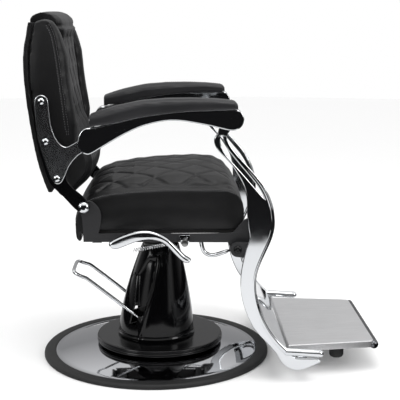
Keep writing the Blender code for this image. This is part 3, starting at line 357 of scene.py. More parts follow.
BLACK_LEATHER = Leather("black upholstery leather", "#0e0e0f", 0.40, worn="#19191a")
PAD_LEATHER = Leather("armrest leather", "#1c1c1e", 0.42, worn="#262628", crease=0.045)
CHROME = Chrome("polished chrome plate", "#e2e4e6", 0.045)
BRACKET_CHROME = Chrome("bracket chrome plate", "#d3d5d7", 0.17)
# The nose's chrome colour is darkened: a painted dark reflection on the rolled nose, not a smoked plate.
NOSE_CHROME_PAINTED_DARK = Chrome("nose chrome darkened as painted reflection", "#6a6b6e", 0.12)
DISC_CHROME = Chrome("base disc chrome plate", "#b9babd", 0.05, wave=0.11, wave_depth=0.0005)
GLOSS_BLACK = Enamel("black gloss enamel", "#060607", 0.07)
FLANGE_BLACK = Enamel("black flange enamel", "#050506", 0.14)
FRAME_PAINT = PowderCoat("graphite powder coat", "#1f1f21", 0.46)
BRUSHED = BrushedSteel("brushed stainless steel", "#dadadb", 0.50)
BLACK_RUBBER = Rubber("moulded black rubber", "#0a0a0b", 0.62)
STEEL = TurnedSteel("machined steel", "#a3a3a2", 0.30)
SPRING_STEEL = Chrome("bright spring wire", "#f2f3f4", 0.16)
CASTING = PaintedCasting("painted iron casting", "#151516", 0.55)
PLYWOOD = Plywood("black-stained plywood", "#100f0e", 0.85)
THREAD = Thread("bonded nylon thread", "#444446", 0.50)


# ---------------------------------------------------------------- profiles
def fade(value: np.ndarray, start: float, width: float) -> np.ndarray:
    """Return 0 up to a start, rising to 1 over a width; a negative width rises the other way."""
    return np.clip((value - start) / width, 0.0, 1.0)


def ease(value: float, start: float, width: float) -> float:
    """Return fade's step with both of its corners rounded."""
    part = min(max((value - start) / width, 0.0), 1.0)
    return part * part * (3 - 2 * part)


def channel(distance: np.ndarray, width: float) -> np.ndarray:
    """Return the profile of a channel or bead: 1 on its line, falling to 0 over its width."""
    return np.exp(-(distance / width) ** 2)


def diamonds(along: np.ndarray, beside: np.ndarray, length: float,
             width: float) -> tuple[np.ndarray, np.ndarray]:
    """Return the profiles of diamond quilting.

    Args:
        along: Places along the quilted face.
        beside: Places across it.
        length: Length of one diamond.
        width: Its width.

    Returns:
        The swelling between the sewn lines and the channels along them, both from 0 to 1.
    """
    u, v = along / length, beside / width
    lines = [np.abs(s - np.round(s)) * length * 0.7 for s in (u + v, u - v)]
    sewn = np.maximum(channel(lines[0], SEWN_WIDTH), channel(lines[1], SEWN_WIDTH))
    swelling = np.minimum(lines[0], lines[1]) / (length * 0.35)
    return np.sqrt(np.clip(swelling, 0.0, 1.0)), sewn


def strip(x: np.ndarray | float, y: np.ndarray | float, z: np.ndarray | float) -> np.ndarray:
    """Return a path, one point a row, from coordinates of which some may be single numbers."""
    return np.stack(np.broadcast_arrays(x, y, z), axis=1)


# ---------------------------------------------------------------- curves and outlines
def catmull(points: Sequence[Sequence[float]], spacing: float, closed: bool = False) -> np.ndarray:
    """Run a smooth curve through points and sample it evenly.

    Args:
        points: Points of any one dimension.
        spacing: Distance between samples, in metres.
        closed: Whether the last point joins the first.

    Returns:
        The samples, one row each.
    """
    given = np.asarray(points, float)
    count = len(given)
    rows = []
    for i in range(count if closed else count - 1):
        if closed:
            a, b, c, d = (given[(i + k - 1) % count] for k in range(4))
        else:
            b, c = given[i], given[i + 1]
            a = given[i - 1] if i else 2 * b - c
            d = given[i + 2] if i + 2 < count else 2 * c - b
        for t in np.arange(8) / 8:
            rows.append(0.5 * (2 * b + (c - a) * t + (2 * a - 5 * b + 4 * c - d) * t**2
                               + (3 * b - a - 3 * c + d) * t**3))
    rows.append(given[0] if closed else given[-1])
    fine = np.array(rows)
    run = np.concatenate([[0.0], np.cumsum(np.linalg.norm(np.diff(fine, axis=0), axis=1))])
    steps = max(3, round(run[-1] / spacing))
    at = np.linspace(0.0, run[-1], steps + 1)
    sampled = np.stack([np.interp(at, run, fine[:, k]) for k in range(fine.shape[1])], axis=1)
    return sampled[:-1] if closed else sampled


def node_mesh(node: str) -> bmesh.types.BMesh:
    """Return a merged copy of a frame node's mesh."""
    mesh = bmesh.new()
    mesh.from_mesh(frame["nodes"][node].data)
    bmesh.ops.remove_doubles(mesh, verts=mesh.verts, dist=MERGE)
    return mesh


def outlines(node: str, outward: float) -> list[list[Point2]]:
    """Read the loops of (x, z) round a plate node's outermost flat face.

    Args:
        node: The node's name.
        outward: 1 for the face that looks to +Y, -1 for the one that looks to -Y.

    Returns:
        The loops, the longest first.
    """
    mesh = node_mesh(node)
    reach = max(v.co.y * outward for v in mesh.verts)
    faces = [f for f in mesh.faces if f.normal.y * outward > 0.99
             and all(abs(v.co.y * outward - reach) < 1e-4 for v in f.verts)]
    flat = set(faces)
    steps: dict[int, int] = {}
    for face in faces:
        for corner in face.loops:
            if all(other in flat for other in corner.edge.link_faces):
                continue
            steps[corner.vert.index] = corner.link_loop_next.vert.index
    mesh.verts.ensure_lookup_table()
    loops = []
    while steps:
        start, follower = steps.popitem()
        loop = [start]
        while follower != start:
            loop.append(follower)
            follower = steps.pop(follower)
        loops.append([(mesh.verts[i].co.x, mesh.verts[i].co.z) for i in loop])
    mesh.free()
    return sorted(loops, key=len_of_loop, reverse=True)


def len_of_loop(loop: Sequence[Point2]) -> float:
    """Return the length round a closed loop."""
    ring = np.asarray(loop)
    return float(np.linalg.norm(ring - np.roll(ring, 1, axis=0), axis=1).sum())


def soften(loop: Sequence[Point2], spacing: float = 0.003, corner: float = radians(50)) -> list[Point2]:
    """Turn a polygon into a smooth outline that keeps its real corners.

    Args:
        loop: The polygon.
        spacing: Distance between the new points.
        corner: A turn sharper than this stays a corner.

    Returns:
        The new outline.
    """
    ring = np.asarray(loop)
    before = ring - np.roll(ring, 1, axis=0)
    after = np.roll(ring, -1, axis=0) - ring
    turn = np.arctan2(before[:, 0] * after[:, 1] - before[:, 1] * after[:, 0], (before * after).sum(axis=1))
    sharp = [i for i in range(len(ring)) if abs(turn[i]) > corner]
    if not sharp:
        return [tuple(p) for p in catmull(ring, spacing, closed=True)]
    result = []
    for first, last in zip(sharp, [*sharp[1:], sharp[0] + len(ring)]):
        stretch = [ring[i % len(ring)] for i in range(first, last + 1)]
        result.extend(tuple(p) for p in catmull(stretch, spacing)[:-1])
    return result


# ---------------------------------------------------------------- meshes
def new_piece(name: str, data: bpy.types.Mesh, finish: Finish) -> bpy.types.Object:
    """Put a mesh in the scene as a smooth-shaded piece that wears a finish."""
    data.materials.clear()
    data.materials.append(finish.material())
    data.shade_smooth()
    data.set_sharp_from_angle(angle=SMOOTH_ANGLE)
    piece = bpy.data.objects.new(name, data)
    bpy.context.scene.collection.objects.link(piece)
    return piece


def from_bmesh(name: str, mesh: bmesh.types.BMesh, finish: Finish) -> bpy.types.Object:
    """Merge, orient and store a bmesh as a piece."""
    bmesh.ops.remove_doubles(mesh, verts=mesh.verts, dist=MERGE)
    bmesh.ops.recalc_face_normals(mesh, faces=mesh.faces)
    data = bpy.data.meshes.new(name)
    mesh.to_mesh(data)
    mesh.free()
    return new_piece(name, data, finish)


def plain(piece: bpy.types.Object) -> bpy.types.Object:
    """Apply a piece's modifiers, so that only a mesh is left."""
    bpy.context.view_layer.update()
    evaluated = piece.evaluated_get(bpy.context.evaluated_depsgraph_get())
    old = piece.data
    piece.data = bpy.data.meshes.new_from_object(evaluated)
    piece.modifiers.clear()
    bpy.data.meshes.remove(old)
    return piece


def even_shading(piece: bpy.types.Object) -> bpy.types.Object:
    """Keep flat faces flat beside rounded edges, so that reflections stay straight."""
    weighted = piece.modifiers.new("even shading", "WEIGHTED_NORMAL")
    weighted.keep_sharp = True
    weighted.weight = 80
    return plain(piece)


def merge(name: str, pieces: Sequence[bpy.types.Object]) -> bpy.types.Object:
    """Put several pieces in one object; they keep their materials."""
    mesh = bmesh.new()
    materials: list[bpy.types.Material] = []
    for piece in pieces:
        material = piece.data.materials[0]
        if material not in materials:
            materials.append(material)
        index = materials.index(material)
        before = len(mesh.faces)
        mesh.from_mesh(piece.data)
        mesh.faces.ensure_lookup_table()
        for face in mesh.faces[before:]:
            face.material_index = index
        bpy.data.objects.remove(piece, do_unlink=True)
    data = bpy.data.meshes.new(name)
    mesh.to_mesh(data)
    mesh.free()
    for material in materials:
        data.materials.append(material)
    joined = bpy.data.objects.new(name, data)
    bpy.context.scene.collection.objects.link(joined)
    return joined


def shift(piece: bpy.types.Object, matrix: Matrix) -> bpy.types.Object:
    """Move a piece's mesh, and leave its object at the origin."""
    piece.data.transform(matrix)
    if matrix.determinant() < 0:
        piece.data.flip_normals()
    piece.data.update()
    return piece


def mirrored_copy(piece: bpy.types.Object, name: str) -> bpy.types.Object:
    """Return a copy of a piece for the chair's other side."""
    copy = bpy.data.objects.new(name, piece.data.copy())
    bpy.context.scene.collection.objects.link(copy)
    return shift(copy, MIRROR)


def boolean(piece: bpy.types.Object, other: bpy.types.Object, operation: str = "DIFFERENCE") -> bpy.types.Object:
    """Cut or join a piece with another one, which is used up."""
    modifier = piece.modifiers.new("cut", "BOOLEAN")
    modifier.operation = operation
    modifier.solver = "EXACT"
    modifier.object = other
    plain(piece)
    bpy.data.objects.remove(other, do_unlink=True)
    piece.data.shade_smooth()
    piece.data.set_sharp_from_angle(angle=SMOOTH_ANGLE)
    return piece


def lathe(name: str, profile: Sequence[Point2], finish: Finish, segments: int = 160,
          ring: bool = False) -> bpy.types.Object:
    """Turn a profile of (radius, height) round Z.

    Args:
        name: The piece's name.
        profile: Points from the top, down the outer side.
        finish: What the piece wears.
        segments: Faces round the axis.
        ring: Whether the profile is a closed loop.

    Returns:
        The piece, on the world's Z axis.
    """
    mesh = bmesh.new()
    rows = []
    for radius, height in profile:
        if radius < 1e-6:
            rows.append([mesh.verts.new((0.0, 0.0, height))] * segments)
        else:
            rows.append([mesh.verts.new((radius * cos(tau * k / segments), radius * sin(tau * k / segments), height))
                         for k in range(segments)])
    pairs = list(zip(rows, rows[1:]))
    if ring:
        pairs.append((rows[-1], rows[0]))
    for upper, lower in pairs:
        for k in range(segments):
            j = (k + 1) % segments
            corners = list(dict.fromkeys((upper[k], lower[k], lower[j], upper[j])))
            if len(corners) > 2:
                mesh.faces.new(corners)
    return from_bmesh(name, mesh, finish)


def sweep(name: str, path: np.ndarray, radius: float | Sequence[float], finish: Finish, sides: int = 20,
          squash: float = 1.0) -> bpy.types.Object:
    """Make a round bar along a path, with domed ends.

    Args:
        name: The piece's name.
        path: Points in space.
        radius: One radius, or one for each point.
        finish: What the piece wears.
        sides: Faces round the bar.
        squash: Height of the section over its width.

    Returns:
        The bar.
    """
    path = np.asarray(path, float)
    radii = np.broadcast_to(np.asarray(radius, float), (len(path),)).astype(float)
    tangents = np.gradient(path, axis=0)
    tangents /= np.linalg.norm(tangents, axis=1, keepdims=True)
    side = np.cross(tangents[0], (0.0, 1.0, 0.0) if abs(tangents[0][1]) < 0.9 else (1.0, 0.0, 0.0))
    rows = []
    for point, tangent, size in zip(path, tangents, radii):
        side = side - tangent * np.dot(side, tangent)
        side /= np.linalg.norm(side)
        rows.append((point, tangent, side, np.cross(tangent, side), size))
    dome = [(sin(a), cos(a)) for a in (radians(72), radians(48), radians(24))]
    first, last = rows[0], rows[-1]
    start = [(first[0] - first[1] * first[4] * lift, *first[1:4], first[4] * inward) for lift, inward in dome]
    end = [(last[0] + last[1] * last[4] * lift, *last[1:4], last[4] * inward) for lift, inward in reversed(dome)]
    mesh = bmesh.new()
    rings = []
    for point, _, across, up, size in [*start, *rows, *end]:
        rings.append([mesh.verts.new(Vector(point + (across * cos(tau * k / sides)
                                                     + up * squash * sin(tau * k / sides)) * size))
                      for k in range(sides)])
    for lower, upper in zip(rings, rings[1:]):
        for k in range(sides):
            j = (k + 1) % sides
            mesh.faces.new((lower[k], lower[j], upper[j], upper[k]))
    for cap in (rings[0], rings[-1]):
        mesh.faces.new(cap)
    return from_bmesh(name, mesh, finish)


def rounded_plate(name: str, loops: Sequence[Sequence[Point2]], low: float, high: float, edge: float,
                  finish: Finish, normal: Axis = Axis.Y, steps: int = 3) -> bpy.types.Object:
    """Make a plate with rounded edges from outlines.

    Args:
        name: The piece's name.
        loops: The outline and its holes, as (x, z), or as (x, y) for a level plate.
        low: The plate's lower limit across its thickness.
        high: Its upper limit.
        edge: Radius of its edges.
        finish: What it wears.
        normal: The axis across its thickness.
        steps: Smoothness of the edges.

    Returns:
        The plate.
    """
    curve = bpy.data.curves.new(name, "CURVE")
    curve.dimensions = "2D"
    curve.fill_mode = "BOTH"
    curve.bevel_depth = edge
    curve.bevel_resolution = steps
    curve.offset = -edge
    curve.extrude = (high - low) / 2 - edge
    for loop in loops:
        spline = curve.splines.new("POLY")
        spline.points.add(len(loop) - 1)
        for point, (u, v) in zip(spline.points, loop):
            point.co = (u, v, 0.0, 1.0)
        spline.use_cyclic_u = True
    holder = bpy.data.objects.new(name, curve)
    bpy.context.scene.collection.objects.link(holder)
    bpy.context.view_layer.update()
    data = bpy.data.meshes.new_from_object(holder.evaluated_get(bpy.context.evaluated_depsgraph_get()))
    bpy.data.objects.remove(holder, do_unlink=True)
    mesh = bmesh.new()
    mesh.from_mesh(data)
    bpy.data.meshes.remove(data)
    turn = Matrix.Rotation(pi / 2, 4, "X") if normal is Axis.Y else Matrix.Identity(4)
    middle = Vector((0.0, 0.0, 0.0))
    middle[normal.value] = (low + high) / 2
    bmesh.ops.transform(mesh, matrix=Matrix.Translation(middle) @ turn, verts=mesh.verts)
    return even_shading(from_bmesh(name, mesh, finish))


def block(name: str, low: Sequence[float], high: Sequence[float], edge: float, finish: Finish) -> bpy.types.Object:
    """Make a box between two corners, its edges rounded unless edge is 0."""
    mesh = bmesh.new()
    bmesh.ops.create_cube(mesh, size=1.0)
    for vert in mesh.verts:
        vert.co = Vector((low[k] if vert.co[k] < 0 else high[k]) for k in range(3))
    piece = from_bmesh(name, mesh, finish)
    if edge:
        bevel = piece.modifiers.new("edges", "BEVEL")
        bevel.width = edge
        bevel.segments = 3
        plain(piece)
        piece.data.shade_smooth()
        even_shading(piece)
    return piece


def across(piece: bpy.types.Object, x: float, y: float, z: float, outward: float) -> bpy.types.Object:
    """Lay a piece that was turned round Z along Y, its top facing outward."""
    turn = Matrix.Rotation(-outward * pi / 2, 4, "X")
    return shift(piece, Matrix.Translation((x, y, z)) @ turn)


def middle_of(node: str) -> Vector:
    """Return the middle of a node's box."""
    low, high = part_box(node)
    return (Vector(low) + Vector(high)) / 2


# ---------------------------------------------------------------- geometry nodes
def geometry_tree(name: str, inputs: dict[str, float]) -> tuple[bpy.types.NodeTree, bpy.types.Node]:
    """Start a Geometry Nodes tree with a geometry input, named sizes and a material.

    Args:
        name: The tree's name.
        inputs: The named sizes and their defaults; a whole number makes a whole-number input.

    Returns:
        The tree and its input node.
    """
    tree = bpy.data.node_groups.new(name, "GeometryNodeTree")
    tree.interface.new_socket("Geometry", in_out="INPUT", socket_type="NodeSocketGeometry")
    for label, value in inputs.items():
        kind = "NodeSocketInt" if isinstance(value, int) else "NodeSocketFloat"
        tree.interface.new_socket(label, in_out="INPUT", socket_type=kind).default_value = value
    tree.interface.new_socket("Material", in_out="INPUT", socket_type="NodeSocketMaterial")
    tree.interface.new_socket("Geometry", in_out="OUTPUT", socket_type="NodeSocketGeometry")
    return tree, add_node(tree, "NodeGroupInput")


def close_tree(tree: bpy.types.NodeTree, source: bpy.types.Node, geometry: bpy.types.NodeSocket) -> None:
    """End a tree with Realize Instances and Set Material."""
    real = add_node(tree, "GeometryNodeRealizeInstances", {"Geometry": geometry}).outputs[0]
    dressed = add_node(tree, "GeometryNodeSetMaterial",
                       {"Geometry": real, "Material": source.outputs["Material"]}).outputs[0]
    add_node(tree, "NodeGroupOutput", {"Geometry": dressed})


def grow(name: str, tree: bpy.types.NodeTree, data: bpy.types.ID, sizes: dict[str, float],
         finish: Finish) -> bpy.types.Object:
    """Run a tree on mesh or curve data and keep the result as a plain mesh.

    Args:
        name: The piece's name.
        tree: The Geometry Nodes tree.
        data: What the tree works on.
        sizes: Values for the tree's named inputs.
        finish: What the piece wears.

    Returns:
        The piece.
    """
    holder = bpy.data.objects.new(name + "_source", data)
    bpy.context.scene.collection.objects.link(holder)
    modifier = holder.modifiers.new("tree", "NODES")
    modifier.node_group = tree
    for item in tree.interface.items_tree:
        if item.item_type != "SOCKET" or item.in_out != "INPUT":
            continue
        if item.name in sizes:
            modifier[item.identifier] = sizes[item.name]
        elif item.name == "Material":
            modifier[item.identifier] = finish.material()
    bpy.context.view_layer.update()
    made = bpy.data.meshes.new_from_object(holder.evaluated_get(bpy.context.evaluated_depsgraph_get()))
    bpy.data.objects.remove(holder, do_unlink=True)
    made.name = name
    return new_piece(name, made, finish)


def wires(name: str, paths: Iterable[np.ndarray]) -> bpy.types.Mesh:
    """Return a mesh of loose edges that follow paths."""
    data = bpy.data.meshes.new(name)
    points: list[Point3] = []
    edges: list[tuple[int, int]] = []
    for path in paths:
        first = len(points)
        points.extend(tuple(p) for p in path)
        edges.extend((first + i, first + i + 1) for i in range(len(path) - 1))
    data.from_pydata(points, edges, [])
    return data


def stitch_tree() -> bpy.types.NodeTree:
    """Build the tree that lays a row of stitches along every path it is given."""
    tree, source = geometry_tree("stitch row", {"Pitch": 0.006, "Stitch Length": 0.004, "Thread Radius": 0.0005})
    curve = add_node(tree, "GeometryNodeMeshToCurve", {"Mesh": source.outputs["Geometry"]}).outputs[0]
    spaced = add_node(tree, "GeometryNodeResampleCurve",
                      {"Curve": curve, "Length": source.outputs["Pitch"]}, mode="LENGTH").outputs[0]
    tangent = add_node(tree, "GeometryNodeInputTangent").outputs[0]
    turn = add_node(tree, "FunctionNodeAlignRotationToVector", {"Vector": tangent}, axis="X").outputs[0]
    bead = add_node(tree, "GeometryNodeMeshUVSphere", {"Segments": 6, "Rings": 4, "Radius": 1.0}).outputs[0]
    half = add_node(tree, "ShaderNodeMath", {0: source.outputs["Stitch Length"], 1: 0.5},
                    operation="MULTIPLY").outputs[0]
    size = add_node(tree, "ShaderNodeCombineXYZ", {0: half, 1: source.outputs["Thread Radius"],
                                                   2: source.outputs["Thread Radius"]}).outputs[0]
    stitches = add_node(tree, "GeometryNodeInstanceOnPoints", {"Points": spaced, "Instance": bead,
                                                               "Rotation": turn, "Scale": size}).outputs[0]
    close_tree(tree, source, stitches)
    return tree


def coil_tree() -> bpy.types.NodeTree:
    """Build the tree that winds a close coil spring along +X from the origin."""
    tree, source = geometry_tree("coil spring", {"Turns": 16.0, "Coil Radius": 0.005, "Length": 0.09,
                                                 "Wire Radius": 0.0008})
    coil = add_node(tree, "GeometryNodeCurveSpiral",
                    {"Resolution": 14, "Rotations": source.outputs["Turns"],
                     "Start Radius": source.outputs["Coil Radius"], "End Radius": source.outputs["Coil Radius"],
                     "Height": source.outputs["Length"]}).outputs[0]
    section = add_node(tree, "GeometryNodeCurvePrimitiveCircle",
                       {"Resolution": 8, "Radius": source.outputs["Wire Radius"]}).outputs[0]
    wire = add_node(tree, "GeometryNodeCurveToMesh", {"Curve": coil, "Profile Curve": section,
                                                      "Fill Caps": True}).outputs[0]
    laid = add_node(tree, "GeometryNodeTransform", {"Geometry": wire, "Rotation": (0.0, pi / 2, 0.0)}).outputs[0]
    close_tree(tree, source, laid)
    return tree


def bolt_tree() -> bpy.types.NodeTree:
    """Build the tree that sets a domed socket head on every point it is given, facing +Y."""
    tree, source = geometry_tree("socket heads", {"Head Radius": 0.009, "Head Height": 0.005,
                                                  "Washer Radius": 0.011, "Outward": 1.0})
    radius, height = source.outputs["Head Radius"], source.outputs["Head Height"]
    dome = add_node(tree, "GeometryNodeMeshUVSphere", {"Segments": 40, "Rings": 20, "Radius": radius}).outputs[0]
    lifted = add_node(tree, "ShaderNodeMath", {0: height, 1: radius}, operation="DIVIDE").outputs[0]
    scale = add_node(tree, "ShaderNodeCombineXYZ", {0: 1.0, 1: 1.0, 2: lifted}).outputs[0]
    flat_dome = add_node(tree, "GeometryNodeTransform", {"Geometry": dome, "Scale": scale}).outputs[0]
    key_radius = add_node(tree, "ShaderNodeMath", {0: radius, 1: 0.42}, operation="MULTIPLY").outputs[0]
    key = add_node(tree, "GeometryNodeMeshCylinder", {"Vertices": 6, "Radius": key_radius, "Depth": height}
                   ).outputs[0]
    key_up = add_node(tree, "ShaderNodeCombineXYZ", {2: height}).outputs[0]
    raised = add_node(tree, "GeometryNodeTransform", {"Geometry": key, "Translation": key_up}).outputs[0]
    head = add_node(tree, "GeometryNodeMeshBoolean", {"Mesh 1": flat_dome, "Mesh 2": raised}).outputs[0]
    thin = add_node(tree, "ShaderNodeMath", {0: height, 1: 0.3}, operation="MULTIPLY").outputs[0]
    washer = add_node(tree, "GeometryNodeMeshCylinder", {"Vertices": 40, "Radius": source.outputs["Washer Radius"],
                                                         "Depth": thin}).outputs[0]
    both = add_node(tree, "GeometryNodeJoinGeometry").outputs[0]
    tree.links.new(head, both.node.inputs[0])
    tree.links.new(washer, both.node.inputs[0])
    angle = add_node(tree, "ShaderNodeMath", {0: source.outputs["Outward"], 1: -pi / 2}, operation="MULTIPLY"
                     ).outputs[0]
    turn = add_node(tree, "ShaderNodeCombineXYZ", {0: angle}).outputs[0]
    heads = add_node(tree, "GeometryNodeInstanceOnPoints",
                     {"Points": source.outputs["Geometry"], "Instance": both, "Rotation": turn}).outputs[0]
    close_tree(tree, source, heads)
    return tree


# ---------------------------------------------------------------- placing pieces
BODY_OF = {node: body for body, nodes in frame["record"]["behaviour"]["bodies"].items() for node in nodes}


def stand_for(piece: bpy.types.Object, *nodes: str) -> bpy.types.Object:
    """Let a finished piece take the place of frame nodes, on their body.

    Args:
        piece: The finished piece.
        *nodes: The nodes it stands for; the first gives the body.

    Returns:
        The piece.
    """
    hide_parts(*nodes)
    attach(piece, BODY_OF[nodes[0]])
    LOG.info("%s: %d faces, on %s", piece.name, len(piece.data.polygons), BODY_OF[nodes[0]])
    return piece


def refine(node: str, finish: Finish, edge: float = 0.0, subdivide: int = 0) -> bpy.types.Object:
    """Replace a frame node by a merged, smooth-shaded copy of itself.

    Args:
        node: The node.
        finish: What the copy wears.
        edge: Width of the rounding on its sharp edges, or 0.
        subdivide: Levels of subdivision, for bent bars.

    Returns:
        The copy.
    """
    mesh = node_mesh(node)
    bmesh.ops.dissolve_limit(mesh, angle_limit=radians(1.0), verts=mesh.verts, edges=mesh.edges)
    piece = from_bmesh(node + "_finished", mesh, finish)
    if edge:
        bevel = piece.modifiers.new("edges", "BEVEL")
        bevel.width = edge
        bevel.segments = 2
        bevel.limit_method = "ANGLE"
        bevel.angle_limit = radians(40)
    if subdivide:
        round_off = piece.modifiers.new("round", "SUBSURF")
        round_off.levels = round_off.render_levels = subdivide
    plain(piece)
    piece.data.shade_smooth()
    piece.data.set_sharp_from_angle(angle=SMOOTH_ANGLE)
    return stand_for(piece, node)


# ---------------------------------------------------------------- studio
@dataclass
class Studio:
    """The pale floor, the soft lights and the camera."""

    camera_place: Point3 = (0.035, -2.833, 0.987)
    pitch_down: float = radians(10.70)
    turn_right: float = radians(1.91)
    lens: float = 89.4
    floor_radius: float = 9.0
    floor_drop: float = 0.0006       # keeps the floor clear of the chair's own underside
    bright_radius: float = 1.95      # past these the floor looks dark in mirrors
    bright_fade: float = 0.15
    bright_half_width: float = 0.58
    side_fade: float = 0.05
    aim_height: float = 0.5          # where the softboxes point

    def build(self) -> None:
        """Set up the whole studio."""
        self.add_camera()
        self.add_floor()
        self.add_world()
        self.add_lights()
        bpy.context.scene.view_settings.view_transform = "Standard"

    def add_camera(self) -> None:
        """Stand the camera beside the chair, a little above seat height."""
        data = bpy.data.cameras.new("camera")
        data.lens = self.lens
        camera = bpy.data.objects.new("camera", data)
        bpy.context.scene.collection.objects.link(camera)
        camera.location = self.camera_place
        camera.rotation_euler = (pi / 2 - self.pitch_down, 0.0, -self.turn_right)
        bpy.context.scene.camera = camera

    def add_floor(self) -> None:
        """Lay a round white floor whose far parts look dark in mirrors, like the room round a sweep."""
        mesh = bmesh.new()
        bmesh.ops.create_circle(mesh, cap_ends=True, segments=96, radius=self.floor_radius)
        data = bpy.data.meshes.new("floor")
        mesh.to_mesh(data)
        mesh.free()
        material = bpy.data.materials.new("white paper sweep")
        material.use_nodes = True
        tree = material.node_tree
        shader = tree.nodes["Principled BSDF"]
        shader.inputs["Roughness"].default_value = 0.9
        shader.inputs["Specular IOR Level"].default_value = 0.1
        own = add_node(tree, "ShaderNodeTexCoord").outputs["Object"]
        distance = add_node(tree, "ShaderNodeVectorMath", {0: own}, operation="LENGTH").outputs["Value"]
        far = share(tree, distance, self.bright_radius, self.bright_radius + self.bright_fade)
        across = add_node(tree, "ShaderNodeSeparateXYZ", {0: own}).outputs["X"]
        beside = add_node(tree, "ShaderNodeMath", {0: across}, operation="ABSOLUTE").outputs[0]
        aside = share(tree, beside, self.bright_half_width, self.bright_half_width + self.side_fade)
        far = add_node(tree, "ShaderNodeMath", {0: far, 1: aside}, operation="MAXIMUM").outputs[0]
        mirrored = add_node(tree, "ShaderNodeLightPath").outputs["Is Glossy Ray"]
        paper = ramp(tree, mirrored, ((0.0, "#fafafa"), (1.0, "#dededf")))
        tree.links.new(paper, shader.inputs["Base Color"])
        amount = add_node(tree, "ShaderNodeMath", {0: far, 1: mirrored}, operation="MULTIPLY").outputs[0]
        dark = add_node(tree, "ShaderNodeBsdfDiffuse", {"Color": linear("#161617")}).outputs[0]
        mixed = add_node(tree, "ShaderNodeMixShader", {0: amount, 1: shader.outputs[0], 2: dark}).outputs[0]
        tree.links.new(mixed, tree.nodes["Material Output"].inputs["Surface"])
        data.materials.append(material)
        floor = bpy.data.objects.new("floor", data)
        floor.location.z = -self.floor_drop
        bpy.context.scene.collection.objects.link(floor)

    def add_world(self) -> None:
        """Light the room softly; mirrors see a grey room with a bright ceiling and bright side walls."""
        world = bpy.data.worlds.new("studio")
        bpy.context.scene.world = world
        world.use_nodes = True
        tree = world.node_tree
        tree.nodes.clear()
        way = add_node(tree, "ShaderNodeTexCoord").outputs["Generated"]
        split = add_node(tree, "ShaderNodeSeparateXYZ", {0: way})
        side = add_node(tree, "ShaderNodeMath", {0: split.outputs["X"]}, operation="ABSOLUTE").outputs[0]
        back = share(tree, split.outputs["Y"], -1.0, 1.0)
        walls = ramp(tree, back, ((0.0, "#0b0b0c"), (0.42, "#1c1c1d"), (0.60, "#8b8b8c"), (1.0, "#a6a6a7")))
        strips = ramp(tree, side, ((0.55, "#000000"), (0.66, "#ffffff"), (0.80, "#ffffff"), (0.90, "#202020")))
        lit = add_node(tree, "ShaderNodeMix", {"Factor": 0.75, 6: walls, 7: strips}, data_type="RGBA",
                       blend_type="ADD").outputs[2]
        overhead = ramp(tree, share(tree, split.outputs["Z"], 0.0, 1.0),
                        ((0.30, "#000000"), (0.62, "#ffffff")))
        grey = add_node(tree, "ShaderNodeRGBToBW", {0: overhead}).outputs[0]
        room = add_node(tree, "ShaderNodeMix", {"Factor": grey, 6: lit, 7: linear("#ffffff")}, data_type="RGBA"
                        ).outputs[2]
        mirrored = add_node(tree, "ShaderNodeLightPath").outputs["Is Glossy Ray"]
        seen = add_node(tree, "ShaderNodeMix", {"Factor": mirrored, 6: linear("#ffffff"), 7: room},
                        data_type="RGBA").outputs[2]
        light = add_node(tree, "ShaderNodeBackground", {"Color": seen, "Strength": 1.0}).outputs[0]
        add_node(tree, "ShaderNodeOutputWorld", {"Surface": light})

    def add_lights(self) -> None:
        """Hang one large softbox overhead and one at each end of the chair."""
        for name, place, size, power in (("overhead softbox", (0.2, -0.6, 2.6), 1.6, 26.0),
                                         ("front softbox", (2.3, -1.5, 1.5), 1.0, 16.0),
                                         ("rear softbox", (-2.2, -1.7, 1.6), 1.0, 14.0)):
            data = bpy.data.lights.new(name, "AREA")
            data.shape = "SQUARE"
            data.size = size
            data.energy = power
            lamp = bpy.data.objects.new(name, data)
            lamp.location = place
            aim = Vector((0.0, 0.0, self.aim_height)) - Vector(place)
            lamp.rotation_euler = aim.to_track_quat("-Z", "Y").to_euler()
            bpy.context.scene.collection.objects.link(lamp)


